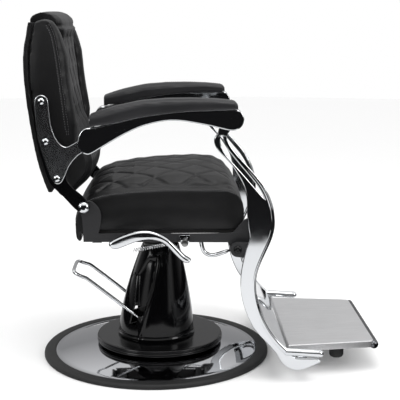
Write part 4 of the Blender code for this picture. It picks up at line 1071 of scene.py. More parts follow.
# ---------------------------------------------------------------- base
@dataclass
class PumpBase:
    """The floor disc with its rim and flange, the column cover, and the pump inside it."""

    air: float = 0.0003
    cover_foot: float = 0.112
    cover_top: float = 0.056
    cover_lean: float = 0.014
    cover_wall: float = 0.003
    taper: float = 1.55
    narrowness: float = 0.97         # width across the chair over length
    grid: tuple[int, int] = (240, 84)
    bead_height: float = 0.0028      # a rolled bead runs round the foot
    bead_middle: float = 0.006
    bead_width: float = 0.0035
    bead_inset: float = 0.0012
    skin_air: float = 0.0005
    recess_depth: float = 0.006
    recess_top: float = 0.300
    rib_height: float = 0.0022
    rib_width: float = 0.0038
    rib_offset: float = 0.004
    rib_span: Point2 = (0.048, 0.305)
    flank: float = 0.35              # the relief keeps to the two flanks
    recess_rear: tuple[Point2, ...] = ((0.105, -0.040), (0.128, -0.052), (0.167, -0.062), (0.240, -0.058),
                                       (0.293, -0.024))
    recess_front: tuple[Point2, ...] = ((0.060, -0.055), (0.122, -0.037), (0.210, -0.008), (0.292, 0.007))
    pedal_plane: float = 0.078
    slot_half_width: float = 0.008
    slot_heights: Point2 = (0.101, 0.157)
    slot_reach: Point2 = (-0.140, -0.030)
    disc_edge: float = 0.010
    rim_roll: float = 0.010

    def build(self) -> None:
        """Make every visible piece of the base and dress the pump."""
        stand_for(self.disc(), "base_disc")
        stand_for(self.rim(), "base_rubber_rim")
        stand_for(self.flange(), "base_flange")
        stand_for(self.cover(), "column_cover")
        refine("pump_cylinder", STEEL)
        refine("pump_reservoir", CASTING)
        refine("cylinder_cap", STEEL)
        for side, _ in SIDES:
            refine(f"pedal_pin_{side}", STEEL)

    def disc(self) -> bpy.types.Object:
        """Turn the crowned floor disc, with a fine step at its edge."""
        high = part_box("base_disc")[1]
        radius, crown = high[0], high[2]
        fall = crown - self.disc_edge
        slope = [(radius * t, crown - fall * t**3) for t in np.linspace(0.2, 0.985, 22)]
        profile = [(0.0, crown), *slope, (radius, 0.0115), (radius, 0.0), (0.0, 0.0)]
        return lathe("chromed_disc", profile, DISC_CHROME, segments=200)

    def rim(self) -> bpy.types.Object:
        """Turn the rubber rim, its upper face rolled over."""
        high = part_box("base_rubber_rim")[1]
        radius, height = high[0], high[2]
        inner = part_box("base_disc")[1][0] + self.air
        roll = [(radius - self.rim_roll + self.rim_roll * sin(a), height * 0.42 + height * 0.58 * cos(a))
                for a in np.linspace(0.0, pi / 2, 8)]
        profile = [(inner, 0.0), (inner, height * 0.80), (inner + 0.0025, height * 0.93), (inner + 0.007, height),
                   *roll, (radius, 0.002), (radius - 0.002, 0.0)]
        return lathe("rubber_rim", profile, BLACK_RUBBER, segments=200, ring=True)

    def flange(self) -> bpy.types.Object:
        """Turn the enamelled flange with two rolled edges and a groove between them."""
        low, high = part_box("base_flange")
        radius, foot, top = (high[0] - low[0]) / 2, low[2], high[2]
        bead = (top - foot) * 0.27
        profile = [(radius * 0.5, top), (radius - 0.016, top)]
        for centre in (top - bead, foot + bead):
            profile.extend((radius - bead * 1.05 + bead * sin(a), centre + bead * cos(a))
                           for a in np.linspace(0.0, pi * 0.86, 9))
        profile.extend([(radius - 0.012, foot), (radius * 0.5, foot)])
        return shift(lathe("enamelled_flange", profile, FLANGE_BLACK, segments=180, ring=True),
                     Matrix.Translation(((low[0] + high[0]) / 2, 0.0, 0.0)))

    def relief(self, x: float, z: float) -> float:
        """Return how far the cover's skin stands out (or in, if negative) at a place on its side."""
        rear = np.interp(z, *zip(*self.recess_rear))
        front = np.interp(z, *zip(*self.recess_front))

        ends = ease(z, self.recess_rear[0][0], 0.030) * ease(z, self.recess_top, -0.020)
        hollow = ease(x, rear, 0.009) * ease(x, front, -0.006) * ends
        rib = channel(x - front - self.rib_offset, self.rib_width)
        rib *= ease(z, self.rib_span[1], -0.03) * ease(z, self.rib_span[0], 0.02)
        return self.rib_height * rib - self.recess_depth * hollow

    def cover(self) -> bpy.types.Object:
        """Skin the sculpted cover, give it a wall, and cut the pedal's slots."""
        low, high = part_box("column_cover")
        foot, top = low[2], high[2]
        columns, rows = self.grid
        mesh = bmesh.new()
        rings = []
        for row in range(rows + 1):
            t = row / rows
            narrowing = t**self.taper
            radius = self.cover_foot + (self.cover_top - self.cover_foot) * narrowing - self.skin_air
            z = foot + (top - foot) * t
            bead = self.bead_height * channel(z - foot - self.bead_middle, self.bead_width) - self.bead_inset
            ring = []
            for k in range(columns):
                a = tau * k / columns
                x = self.cover_lean * narrowing + radius * cos(a)
                out = bead + (self.relief(x, z) if abs(sin(a)) > self.flank else 0.0)
                ring.append(mesh.verts.new((x + out * cos(a), self.narrowness * (radius + out) * sin(a), z)))
            rings.append(ring)
        for lower, upper in zip(rings, rings[1:]):
            for k in range(columns):
                j = (k + 1) % columns
                mesh.faces.new((lower[k], lower[j], upper[j], upper[k]))
        cover = from_bmesh("sculpted_cover", mesh, GLOSS_BLACK)
        shell = cover.modifiers.new("wall", "SOLIDIFY")
        shell.thickness = self.cover_wall
        shell.offset = -1.0
        plain(cover)
        for _, side in SIDES:
            middle = self.pedal_plane * side
            slot = block("slot", (self.slot_reach[0], middle - self.slot_half_width, self.slot_heights[0]),
                         (self.slot_reach[1], middle + self.slot_half_width, self.slot_heights[1]), 0.0, GLOSS_BLACK)
            boolean(cover, slot)
        return cover


@dataclass
class PedalAndRam:
    """The pump pedal, the ram and the ring that the seat turns on."""

    ram_chamfer: float = 0.002

    def build(self) -> None:
        """Dress the pedal and turn the round pieces afresh."""
        refine("pedal_loop", CHROME, subdivide=1)
        low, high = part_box("lift_ram")
        radius = high[0]
        profile = [(0.0, high[2]), (radius - self.ram_chamfer, high[2]), (radius, high[2] - self.ram_chamfer),
                   (radius, low[2]), (0.0, low[2])]
        stand_for(lathe("polished_ram", profile, CHROME, segments=72), "lift_ram")
        low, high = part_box("swivel_bearing")
        outer, inner = high[0], radius + PumpBase.air
        profile = [(inner, high[2]), (outer - 0.001, high[2]), (outer, high[2] - 0.001),
                   (outer - 0.0015, (low[2] + high[2]) / 2), (outer, low[2] + 0.001), (outer - 0.001, low[2]),
                   (inner, low[2])]
        stand_for(lathe("swivel_ring", profile, STEEL, segments=96, ring=True), "swivel_bearing")


# ---------------------------------------------------------------- upholstery
class Fill(Enum):
    """How tightly a padded piece is stuffed, from 0 to 1."""

    FIRM = 0.75
    TIGHT = 0.90


@dataclass
class Upholstery:
    """How a padded piece gets its form: cloth under pressure over foam, then one subdivision."""

    voxel: float = 0.006
    pressure: float = 4.0
    limit: float = 0.008
    shrink: float = 0.003
    frames: int = 20
    smoothing: int = 6
    evening: int = 12                # rounds of averaging, which leave the swelling but no crumples
    air: float = 0.0004

    def puff(self, name: str, node: str, finish: Finish,
             held: Callable[[np.ndarray], np.ndarray]) -> bpy.types.Object:
        """Make a padded piece from a plain solid.

        Args:
            name: The new piece's name.
            node: The frame node that it stands for.
            finish: What it wears.
            held: Says which of an array of places are held still, as where the pad lies on a board.

        Returns:
            The piece, not yet standing in its node's place.
        """
        mesh = node_mesh(node)
        data = bpy.data.meshes.new(name)
        mesh.to_mesh(data)
        mesh.free()
        piece = new_piece(name, data, finish)
        remesh = piece.modifiers.new("even cloth", "REMESH")
        remesh.mode = "VOXEL"
        remesh.voxel_size = self.voxel
        soft = piece.modifiers.new("rounding", "SMOOTH")
        soft.factor = 0.5
        soft.iterations = self.smoothing
        plain(piece)
        rest = coordinates(piece)
        still = held(rest)
        start = rest - normals(piece) * self.shrink * ~still[:, None]
        set_coordinates(piece, start)
        self.inflate(piece, still, start)
        swell = piece.modifiers.new("finer", "SUBSURF")
        swell.levels = swell.render_levels = 1
        plain(piece)
        fill_box(piece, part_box(node), self.air)
        new_look(piece, finish)
        return piece

    def inflate(self, piece: bpy.types.Object, still: np.ndarray, start: np.ndarray) -> None:
        """Let the cloth swell under pressure, but no further than the limit."""
        group = piece.vertex_groups.new(name="held")
        group.add([int(i) for i in np.flatnonzero(still)], 1.0, "REPLACE")
        cloth = piece.modifiers.new("cloth", "CLOTH")
        settings = cloth.settings
        settings.use_pressure = True
        settings.uniform_pressure_force = self.pressure
        settings.effector_weights.gravity = 0.0
        settings.quality = 5
        if still.any():
            settings.vertex_group_mass = group.name
        cloth.point_cache.frame_start = 1
        cloth.point_cache.frame_end = self.frames
        scene = bpy.context.scene
        for number in range(1, self.frames + 1):
            scene.frame_set(number)
        evaluated = piece.evaluated_get(bpy.context.evaluated_depsgraph_get())
        moved = np.empty(len(start) * 3)
        evaluated.data.vertices.foreach_get("co", moved)
        move = moved.reshape(-1, 3) - start
        size = np.linalg.norm(move, axis=1, keepdims=True)
        move *= np.minimum(1.0, self.limit / np.maximum(size, 1e-9))
        move = even_out(piece, move, self.evening)
        piece.modifiers.remove(cloth)
        scene.frame_set(1)
        set_coordinates(piece, start + move)


def coordinates(piece: bpy.types.Object) -> np.ndarray:
    """Return a piece's points, one row each."""
    flat = np.empty(len(piece.data.vertices) * 3)
    piece.data.vertices.foreach_get("co", flat)
    return flat.reshape(-1, 3)


def normals(piece: bpy.types.Object) -> np.ndarray:
    """Return the normals at a piece's points, one row each."""
    flat = np.empty(len(piece.data.vertices) * 3)
    piece.data.vertices.foreach_get("normal", flat)
    return flat.reshape(-1, 3)


def set_coordinates(piece: bpy.types.Object, rows: np.ndarray) -> None:
    """Move a piece's points."""
    piece.data.vertices.foreach_set("co", np.ascontiguousarray(rows).ravel())
    piece.data.update()


def even_out(piece: bpy.types.Object, rows: np.ndarray, rounds: int) -> np.ndarray:
    """Average values over neighbouring points of a piece, a number of times."""
    ends = np.empty(len(piece.data.edges) * 2, dtype=np.int32)
    piece.data.edges.foreach_get("vertices", ends)
    a, b = ends.reshape(-1, 2).T
    count = np.bincount(ends, minlength=len(rows))[:, None] + 1.0
    for _ in range(rounds):
        total = rows.copy()
        np.add.at(total, a, rows[b])
        np.add.at(total, b, rows[a])
        rows = total / count
    return rows


def fill_box(piece: bpy.types.Object, box: tuple[Sequence[float], Sequence[float]], air: float) -> None:
    """Stretch a piece a little along each axis until it fills a box, less some air."""
    points = coordinates(piece)
    low, high = np.array(box[0]) + air, np.array(box[1]) - air
    floor, size = points.min(axis=0), np.ptp(points, axis=0)
    set_coordinates(piece, low + (points - floor) / size * (high - low))


def new_look(piece: bpy.types.Object, finish: Finish) -> None:
    """Dress and smooth-shade a piece again after its mesh was remade."""
    piece.data.materials.clear()
    piece.data.materials.append(finish.material())
    piece.data.shade_smooth()


def line_distance(points: np.ndarray, path: np.ndarray) -> np.ndarray:
    """Return each point's distance to a path of short straight runs."""
    best = np.full(len(points), np.inf)
    for a, b in zip(path[:-1], path[1:]):
        run = b - a
        t = np.clip(((points - a) @ run) / max(run @ run, 1e-12), 0.0, 1.0)
        best = np.minimum(best, np.linalg.norm(points - a - t[:, None] * run, axis=1))
    return best


def surface_of(piece: bpy.types.Object) -> BVHTree:
    """Return a tree that finds the nearest place on a piece."""
    return BVHTree.FromPolygons([v.co for v in piece.data.vertices],
                                [tuple(p.vertices) for p in piece.data.polygons])


def stitch_on(name: str, skin: bpy.types.Object, paths: Sequence[np.ndarray], lift: float = 0.0002,
              pitch: float = 0.0065) -> bpy.types.Object:
    """Sew rows of stitches along paths that are first drawn onto a skin.

    Args:
        name: The piece's name.
        skin: The sewn piece.
        paths: Points near its surface, a few millimetres apart.
        lift: How far the thread stands off the skin.
        pitch: Length of one stitch and the space after it; 4 mm in life, longer here so that it shows.

    Returns:
        The stitches.
    """
    tree = surface_of(skin)
    laid = []
    for path in paths:
        row = []
        for point in path:
            place, normal, _, _ = tree.find_nearest(Vector(point))
            row.append(place + normal * lift)
        laid.append(np.array(row))
    return grow(name, stitch_tree(), wires(name, laid),
                {"Pitch": pitch, "Stitch Length": pitch * 0.66, "Thread Radius": 0.0009}, THREAD)


@dataclass
class SeatGroup:
    """What turns with the seat: cushion, board, spider, side plates, rods and the lock."""

    quilt_length: float = 0.112      # length of one diamond along the seat
    quilt_width: float = 0.092
    quilt_depth: float = 0.0055
    sewn_depth: float = 0.0020
    border: float = 0.030            # plain leather between the quilting and the seam
    rear_border: float = 0.035
    border_fade: float = 0.012
    seam_height: float = 0.531
    seam_depth: float = 0.0022
    seam_width: float = 0.0035
    front_seam_drop: float = 0.012
    plate_edge: float = 0.0012
    gusset_inset: float = 0.0003
    seam_gap: float = 0.0048         # between the two rows of stitches
    gusset: tuple[Point2, ...] = ((0.203, 0.405), (0.239, 0.446), (0.246, 0.450), (0.250, 0.444), (0.250, 0.405))
    upholstery: Upholstery = field(default_factory=lambda: Upholstery(voxel=0.006, limit=0.006, smoothing=1))

    def build(self) -> None:
        """Make the seat and everything bolted to it."""
        self.cushion()
        refine("seat_board", PLYWOOD)
        refine("seat_spider", CASTING, edge=0.001)
        for side, outward in SIDES:
            self.side_plate(side, outward)
            refine(f"front_rod_{side}", CHROME, subdivide=1)
            set_bolts(f"back_pivot_bolt_{side}", (f"back_pivot_bolt_{side}",), outward, 0.0145, 0.0080, 0.0150)
        refine("lever_bracket", CHROME, edge=0.0008)
        refine("recline_lock", STEEL, edge=0.0006)

    def side_plate(self, side: str, outward: float) -> None:
        """Cut one side plate, its edges eased."""
        node = f"frame_side_{side}"
        low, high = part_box(node)
        loops = [soften(loop) for loop in outlines(node, outward)]
        plate = rounded_plate(f"plate_{side}", loops, low[1], high[1], self.plate_edge, FRAME_PAINT)
        gusset = rounded_plate(f"gusset_{side}", [list(self.gusset)], low[1] + self.gusset_inset,
                               high[1] - self.gusset_inset, self.plate_edge, FRAME_PAINT)
        stand_for(merge(f"side_plate_{side}", [plate, gusset]), node)

    def cushion(self) -> None:
        """Puff, quilt and stitch the seat cushion."""
        low, high = (np.array(corner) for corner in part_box("seat_cushion"))
        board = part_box("seat_board")[1][2]
        cushion = self.upholstery.puff("quilted_seat", "seat_cushion", BLACK_LEATHER,
                                       lambda p: (p[:, 2] < board + 0.004) & (p[:, 0] > low[0] + 0.02))
        points, out = coordinates(cushion), normals(cushion)
        inside = np.minimum.reduce([points[:, 0] - low[0] - self.rear_border, high[0] - self.border - points[:, 0],
                                    high[1] - self.border - np.abs(points[:, 1])])
        top = np.clip(out[:, 2] * 2.2 - 0.35, 0.0, 1.0) * fade(inside, 0.0, self.border_fade)
        pillow, sewn = diamonds(points[:, 0], points[:, 1], self.quilt_length, self.quilt_width)
        relief = top * (self.quilt_depth * pillow - self.sewn_depth * sewn)
        seam = self.seam_line(points[:, 0])
        on_side = (np.abs(out[:, 1]) > 0.25) * (points[:, 2] > board)
        relief -= self.seam_depth * (channel(points[:, 2] - seam, self.seam_width) * on_side)
        set_coordinates(cushion, points + out * relief[:, None])
        stand_for(cushion, "seat_cushion")
        steps = (-self.seam_gap, self.seam_gap)
        x = np.arange(low[0] + 0.030, high[0] - 0.012, THREAD_STEP)
        rows = [strip(x, outward * high[1], self.seam_line(x) + step) for _, outward in SIDES for step in steps]
        y = np.arange(low[1] + 0.030, high[1] - 0.030, THREAD_STEP)
        rows.extend(strip(high[0] - 0.004, y, self.seam_height - self.front_seam_drop + step) for step in steps)
        thread = stitch_on("seat_stitches", cushion, rows)
        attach(thread, "seat")

    def seam_line(self, x: np.ndarray) -> np.ndarray:
        """Return the height of the side seam at places along the seat: it drops at both ends."""
        rear_drop = 0.022 * fade(x, -0.05, -0.15) ** 1.6
        return self.seam_height - rear_drop - 0.014 * fade(x, 0.16, 0.08) ** 2


def set_bolts(name: str, nodes: Sequence[str], outward: float, radius: float, height: float,
              washer: float, finish: Finish = CHROME) -> bpy.types.Object:
    """Set socket-head bolts where a row of frame bolts stands.

    Args:
        name: The piece's name.
        nodes: The frame bolts it stands for.
        outward: 1 for the left side, -1 for the right.
        radius: Radius of the heads.
        height: Height of the heads.
        washer: Radius of the washers.
        finish: What the bolts wear.

    Returns:
        The bolts, as one piece.
    """
    places = []
    for node in nodes:
        low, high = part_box(node)
        middle = middle_of(node)
        outer = high[1] if outward > 0 else low[1]
        places.append((middle.x, outer - outward * height, middle.z))
    data = bpy.data.meshes.new(name)
    data.from_pydata(places, [], [])
    heads = grow(name + "_heads", bolt_tree(), data, {"Head Radius": radius, "Head Height": height,
                                                      "Washer Radius": washer, "Outward": outward}, finish)
    return stand_for(heads, *nodes)


# ---------------------------------------------------------------- back
@dataclass
class BackGroup:
    """The reclining back: panel, quilted middle, bolsters, brackets and hinges."""

    quilt_height: float = 0.105
    quilt_width: float = 0.088
    quilt_depth: float = 0.0055
    quilt_span: Point2 = (0.66, 0.945)
    sewn_depth: float = 0.0022
    hollow: float = 0.009            # how far the middle lies behind the crests of the bolsters
    lumbar_span: Point2 = (0.515, 0.645)
    pleat_pitch: float = 0.032
    pleat_depth: float = 0.0013
    belt_height: float = 0.952       # the fold under the top roll
    belt_depth: float = 0.0045
    belt_width: float = 0.006
    seam_levels: Point2 = (0.944, 0.654)
    seam_front: float = -0.15        # a plane before the back, from which its seams are laid on
    seam_rows: Point2 = (0.0035, 0.0085)
    front_seam: tuple[Point2, ...] = ((-0.262, 0.955), (-0.250, 0.930), (-0.240, 0.870), (-0.232, 0.800),
                                      (-0.224, 0.730), (-0.217, 0.675))
    crest: float = 0.010             # how far the bolsters' fronts are crowned
    panel_rise: float = 0.0105       # the panel's top closes up under the top roll
    panel_shoulder: float = 0.93
    middle_cloth: Upholstery = field(default_factory=lambda: Upholstery(voxel=0.0055, limit=0.006, smoothing=3))
    bolster_cloth: Upholstery = field(default_factory=lambda: Upholstery(voxel=0.005, limit=0.006, smoothing=2))
    panel_cloth: Upholstery = field(default_factory=lambda: Upholstery(voxel=0.0055, limit=0.0025, shrink=0.0015,
                                                                       smoothing=1))

    def build(self) -> None:
        """Make the back and its metalwork."""
        self.panel()
        self.middle()
        self.bolsters()
        for side, outward in SIDES:
            self.metalwork(side, outward)

    def panel(self) -> None:
        """Upholster the rear panel and stitch its border."""
        panel = self.panel_cloth.puff("rear_panel", "back_panel", BLACK_LEATHER,
                                      lambda p: np.zeros(len(p), bool))
        points = coordinates(panel)
        points[:, 2] += self.panel_rise * fade(points[:, 2], self.panel_shoulder, 0.01)
        set_coordinates(panel, points)
        stand_for(panel, "back_panel")
        low, high = (np.array(corner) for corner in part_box("back_panel"))
        z = np.arange(low[2] + 0.030, high[2] - 0.025, THREAD_STEP)
        y = np.arange(low[1] + 0.028, high[1] - 0.028, THREAD_STEP)
        behind = low[0] - 0.05
        rows = [strip(behind, outward * (high[1] - 0.022), z) for _, outward in SIDES]
        rows.extend(strip(behind, y, level) for level in (low[2] + 0.024, high[2] - 0.020))
        thread = stitch_on("panel_stitches", panel, rows)
        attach(thread, "back")

    def middle(self) -> None:
        """Puff and quilt the middle of the back, with its lumbar roll and the roll over the top."""
        cushion = self.middle_cloth.puff("quilted_back", "back_cushion", BLACK_LEATHER,
                                         lambda p: np.zeros(len(p), bool))
        low, high = (np.array(corner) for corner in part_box("back_cushion"))
        points, out = coordinates(cushion), normals(cushion)
        front = np.clip(out[:, 0] * 2.4 - 0.3, 0.0, 1.0)
        height = points[:, 2]
        quilted = front * fade(height, self.quilt_span[0], 0.05) * fade(height, self.quilt_span[1], -0.025)
        pillow, sewn = diamonds(height, points[:, 1], self.quilt_height, self.quilt_width)
        relief = (self.quilt_depth * (0.55 * pillow - 0.45) - self.sewn_depth * sewn - self.hollow) * quilted
        lumbar = fade(height, self.lumbar_span[1], -0.02) * fade(height, self.lumbar_span[0], 0.02)
        pleat = self.pleat_depth * np.cos(points[:, 1] * tau / self.pleat_pitch) * lumbar * front
        belt = self.belt_depth * channel(height - self.belt_height, self.belt_width) * (out[:, 0] > -0.2)
        set_coordinates(cushion, points + out * (relief + pleat - belt)[:, None])
        stand_for(cushion, "back_cushion")
        y = np.arange(low[1] + 0.014, high[1] - 0.014, THREAD_STEP)
        rows = [strip(self.seam_front, y, level) for level in self.seam_levels]
        thread = stitch_on("back_stitches", cushion, rows)
        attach(thread, "back")

    def bolsters(self) -> None:
        """Puff one bolster, mirror it, and sew the front seam of both."""
        node = "back_bolster_left"
        left = self.bolster_cloth.puff("bolster_left", node, BLACK_LEATHER, lambda p: np.zeros(len(p), bool))
        low, high = (np.array(corner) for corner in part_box(node))
        points, out = coordinates(left), normals(left)
        middle = (low[1] + high[1]) / 2 - 0.006
        front = np.clip(out[:, 0] * 2.0, 0.0, 1.0)
        crown = np.clip(1.0 - ((points[:, 1] - middle) / 0.030) ** 2, 0.0, 1.0)
        tall = fade(points[:, 2], 0.955, -0.08) * fade(points[:, 2], 0.64, 0.06)
        points = points + np.outer(self.crest * crown * front * tall, (1.0, 0.0, 0.0))
        seam = channel(self.from_front_edge(points), 0.003) * (out[:, 1] > 0.25)
        set_coordinates(left, points - out * (0.0018 * seam)[:, None])
        right = mirrored_copy(left, "bolster_right")
        for piece, side, outward in ((left, "left", 1.0), (right, "right", -1.0)):
            stand_for(piece, f"back_bolster_{side}")
            edges = [self.front_edge(inset) for inset in self.seam_rows]
            rows = [strip(edge[:, 0], outward * (high[1] + 0.004), edge[:, 1]) for edge in edges]
            thread = stitch_on(f"bolster_stitches_{side}", piece, rows)
            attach(thread, "back")

    def front_edge(self, inset: float) -> np.ndarray:
        """Return the (x, z) line that runs down a bolster's outer face, behind its front edge."""
        return catmull([(x - inset, z) for x, z in self.front_seam], THREAD_STEP)

    def from_front_edge(self, points: np.ndarray) -> np.ndarray:
        """Return how far points lie from the seam between the two rows of stitches."""
        return line_distance(points[:, [0, 2]], self.front_edge(sum(self.seam_rows) / 2)[::4])

    def metalwork(self, side: str, outward: float) -> None:
        """Cut one bracket and one hinge arm, and bolt them on."""
        for node, name, edge, finish in ((f"back_bracket_{side}", "arm_bracket", 0.0022, BRACKET_CHROME),
                                         (f"back_hinge_{side}", "hinge_arm", 0.0018, GLOSS_BLACK)):
            low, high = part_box(node)
            loops = [soften(loop) for loop in outlines(node, outward)[:1]]
            stand_for(rounded_plate(f"{name}_{side}", loops, low[1], high[1], edge, finish), node)
        set_bolts(f"bracket_bolts_{side}", [f"bracket_bolt_{side}_{k}" for k in (1, 2, 3)], outward,
                  0.0085, 0.0052, 0.0105)


# ---------------------------------------------------------------- arms
@dataclass
class ArmGroup:
    """The two armrests: castings, pads and the pins at their pivots."""

    edge: float = 0.0032
    slot_half_width: float = 0.008
    slot_middle: float = 0.291
    seam_inset: float = 0.009
    seam_height: float = 0.80        # a level above the pads, from which their seams are laid on
    slot_rear: Point2 = (-0.030, -0.040)     # the slot's corners, from the pivot
    slot_front: Point2 = (0.026, 0.024)
    pivot: Point2 = (0.188, 0.707)
    cloth: Upholstery = field(default_factory=lambda: Upholstery(voxel=0.004, limit=0.004, shrink=0.002,
                                                                 smoothing=1))

    def build(self) -> None:
        """Make both armrests."""
        for side, outward in SIDES:
            self.casting(side, outward)
            refine(f"arm_front_pin_{side}", STEEL, edge=0.0005)
            refine(f"arm_rear_pin_{side}", STEEL, edge=0.0005)
        self.pads()

    def casting(self, side: str, outward: float) -> None:
        """Cast one arm with full round sides, and slot it for the leg's tongue."""
        node = f"arm_casting_{side}"
        low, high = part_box(node)
        loops = [soften(loop) for loop in outlines(node, outward)[:1]]
        arm = rounded_plate(f"polished_arm_{side}", loops, low[1], high[1], self.edge, CHROME, steps=7)
        x, z = self.pivot
        middle = self.slot_middle * outward
        slot = block("slot", (x + self.slot_rear[0], middle - self.slot_half_width, z + self.slot_rear[1]),
                     (x + self.slot_front[0], middle + self.slot_half_width, z + self.slot_front[1]), 0.0, CHROME)
        boolean(arm, slot)
        stand_for(even_shading(arm), node)

    def pads(self) -> None:
        """Puff one pad, mirror it, and stitch both."""
        node = "arm_pad_left"
        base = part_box(node)[0][2]
        left = self.cloth.puff("pad_left", node, PAD_LEATHER, lambda p: p[:, 2] < base + 0.002)
        right = mirrored_copy(left, "pad_right")
        for piece, side in ((left, "left"), (right, "right")):
            stand_for(piece, f"arm_pad_{side}")
            low, high = (np.array(corner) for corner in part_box(f"arm_pad_{side}"))
            x = np.arange(low[0] + 0.012, high[0] - 0.010, THREAD_STEP)
            rows = [strip(x, y, self.seam_height) for y in (low[1] + self.seam_inset, high[1] - self.seam_inset)]
            thread = stitch_on(f"pad_stitches_{side}", piece, rows)
            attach(thread, f"arm_{side}")


# ---------------------------------------------------------------- legs
@dataclass
class FootrestGroup:
    """The swinging footrest: two railed legs, shaft, kick panel, bar, plate and bumpers."""

    heel: Point2 = (0.362, 0.088)
    rail_top: Point2 = (0.187, 0.681)
    toe_end: float = 0.444
    toe_height: float = 0.081
    rail_inset: float = 0.0058
    rail_radii: tuple[float, ...] = (0.0048, 0.0054, 0.0060, 0.0066, 0.0068, 0.0060, 0.0064, 0.0078, 0.0092)
    toe_radius: float = 0.0105
    web_half: float = 0.0055
    tongue_half: float = 0.0065
    tongue_radius: float = 0.020
    eye_radius: float = 0.0095
    leg_plane: float = 0.285
    tongue_plane: float = 0.291
    arm_pivot: Point2 = (0.188, 0.707)
    neck: tuple[Point2, ...] = ((-0.023, -0.030), (-0.022, -0.037), (-0.017, -0.031), (-0.009, -0.031),
                                (-0.001, -0.034))
    lug_inset: float = 0.015         # from the leg's middle plane in to the lug
    lug_thickness: float = 0.012
    lug_radius: float = 0.020
    lug_bore: float = 0.008
    lug_front: tuple[Point2, ...] = ((0.250, -0.024), (0.256, 0.018))
    nose_radius: float = 0.0125
    plate_thickness: float = 0.020
    plate_half_widths: Point2 = (0.235, 0.205)       # at the rear and at the nose
    plate_corner: float = 0.016

    def build(self) -> None:
        """Make everything that swings with the footrest."""
        for side, outward in SIDES:
            self.leg(side, outward)
            self.bumper(side)
            set_bolts(f"foot_pivot_bolt_{side}", (f"foot_pivot_bolt_{side}",), outward, 0.0105, 0.0055, 0.0110,
                      GLOSS_BLACK)
        refine("foot_shaft", STEEL, edge=0.0004)
        refine("kick_panel", CHROME)
        refine("foot_crossbar", CHROME, edge=0.002)
        self.plate()

    def leg(self, side: str, outward: float) -> None:
        """Build one leg: a flat web, a round rail along its front, the toe bar and the top tongue."""
        node = f"leg_{side}"
        loops = [soften(loop) for loop in outlines(node, outward)]
        middle = self.leg_plane * outward
        web = rounded_plate(f"web_{side}", loops, middle - self.web_half, middle + self.web_half, 0.0025, CHROME)
        edge = self.front_line(loops[0])
        path = strip(edge[:, 0], middle, edge[:, 1])
        radii = np.interp(np.linspace(0, 1, len(path)), np.linspace(0, 1, len(self.rail_radii)), self.rail_radii)
        rail = sweep(f"rail_{side}", path, radii, CHROME, sides=24)
        toe = np.linspace(path[-1], (self.toe_end, middle, self.toe_height), 12)
        bar = sweep(f"toe_bar_{side}", toe, self.toe_radius, CHROME, sides=28)
        x, z = self.arm_pivot
        head = [(x + self.tongue_radius * cos(a), z + self.tongue_radius * sin(a))
                for a in np.linspace(radians(-62), radians(205), 28)]
        neck = [(x + dx, z + dz) for dx, dz in self.neck]
        eye = [(x + self.eye_radius * cos(a), z + self.eye_radius * sin(a)) for a in np.linspace(0, tau, 25)[:-1]]
        plane = self.tongue_plane * outward
        tongue = rounded_plate(f"tongue_{side}", [[*head, *neck], eye],
                               plane - self.tongue_half, plane + self.tongue_half, 0.001, CHROME)
        stand_for(merge(f"polished_leg_{side}", [web, rail, bar, tongue, self.lug(side, outward)]), node)

    def lug(self, side: str, outward: float) -> bpy.types.Object:
        """Make the short lug that carries one leg on the footrest shaft."""
        centre = middle_of(f"foot_pivot_bolt_{side}")
        inner = self.leg_plane - self.lug_inset
        outer = inner + self.lug_thickness
        ring = [(centre.x + self.lug_radius * cos(a), centre.z + self.lug_radius * sin(a))
                for a in np.linspace(pi / 2, 3 * pi / 2, 16)]
        hole = [(centre.x + self.lug_bore * cos(a), centre.z + self.lug_bore * sin(a))
                for a in np.linspace(0.0, tau, 21)[:-1]]
        front = [(x, centre.z + rise) for x, rise in self.lug_front]
        span = sorted((inner * outward, outer * outward))
        return rounded_plate(f"lug_{side}", [[*ring, *front], hole], span[0], span[1], 0.001, FRAME_PAINT)

    def front_line(self, outline: Sequence[Point2]) -> np.ndarray:
        """Return the centre line of the rail, inside the outline's front edge from top to heel."""
        ring = np.asarray(outline)
        heel = int(np.argmin(np.linalg.norm(ring - self.heel, axis=1)))
        top = int(np.argmin(np.linalg.norm(ring - self.rail_top, axis=1)))
        ways = [np.roll(ring, -top, axis=0)[:(heel - top) % len(ring) + 1],
                np.roll(ring[::-1], top + 1, axis=0)[:(top - heel) % len(ring) + 1]]
        line = max(ways, key=front_reach)
        ahead = np.gradient(line, axis=0)
        ahead /= np.linalg.norm(ahead, axis=1, keepdims=True)
        inward = np.stack([ahead[:, 1], -ahead[:, 0]], axis=1)
        if inward[len(line) // 2, 0] > 0:
            inward = -inward
        return catmull((line + inward * self.rail_inset)[::3], 0.004)

    def bumper(self, side: str) -> None:
        """Turn one rubber bumper with a rounded foot."""
        node = f"foot_bumper_{side}"
        low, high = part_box(node)
        radius, height = (high[0] - low[0]) / 2, high[2] - low[2]
        profile = [(0.0, high[2]), (radius, high[2]), (radius, low[2] + height * 0.45)]
        profile.extend((radius * (0.62 + 0.38 * cos(a)), low[2] + height * 0.32 * (1 - sin(a)))
                       for a in np.linspace(0.0, pi / 2, 6))
        profile.append((0.0, low[2]))
        at = middle_of(node)
        stand_for(shift(lathe(f"rubber_foot_{side}", profile, BLACK_RUBBER, segments=48),
                        Matrix.Translation((at.x, at.y, 0.0))), node)

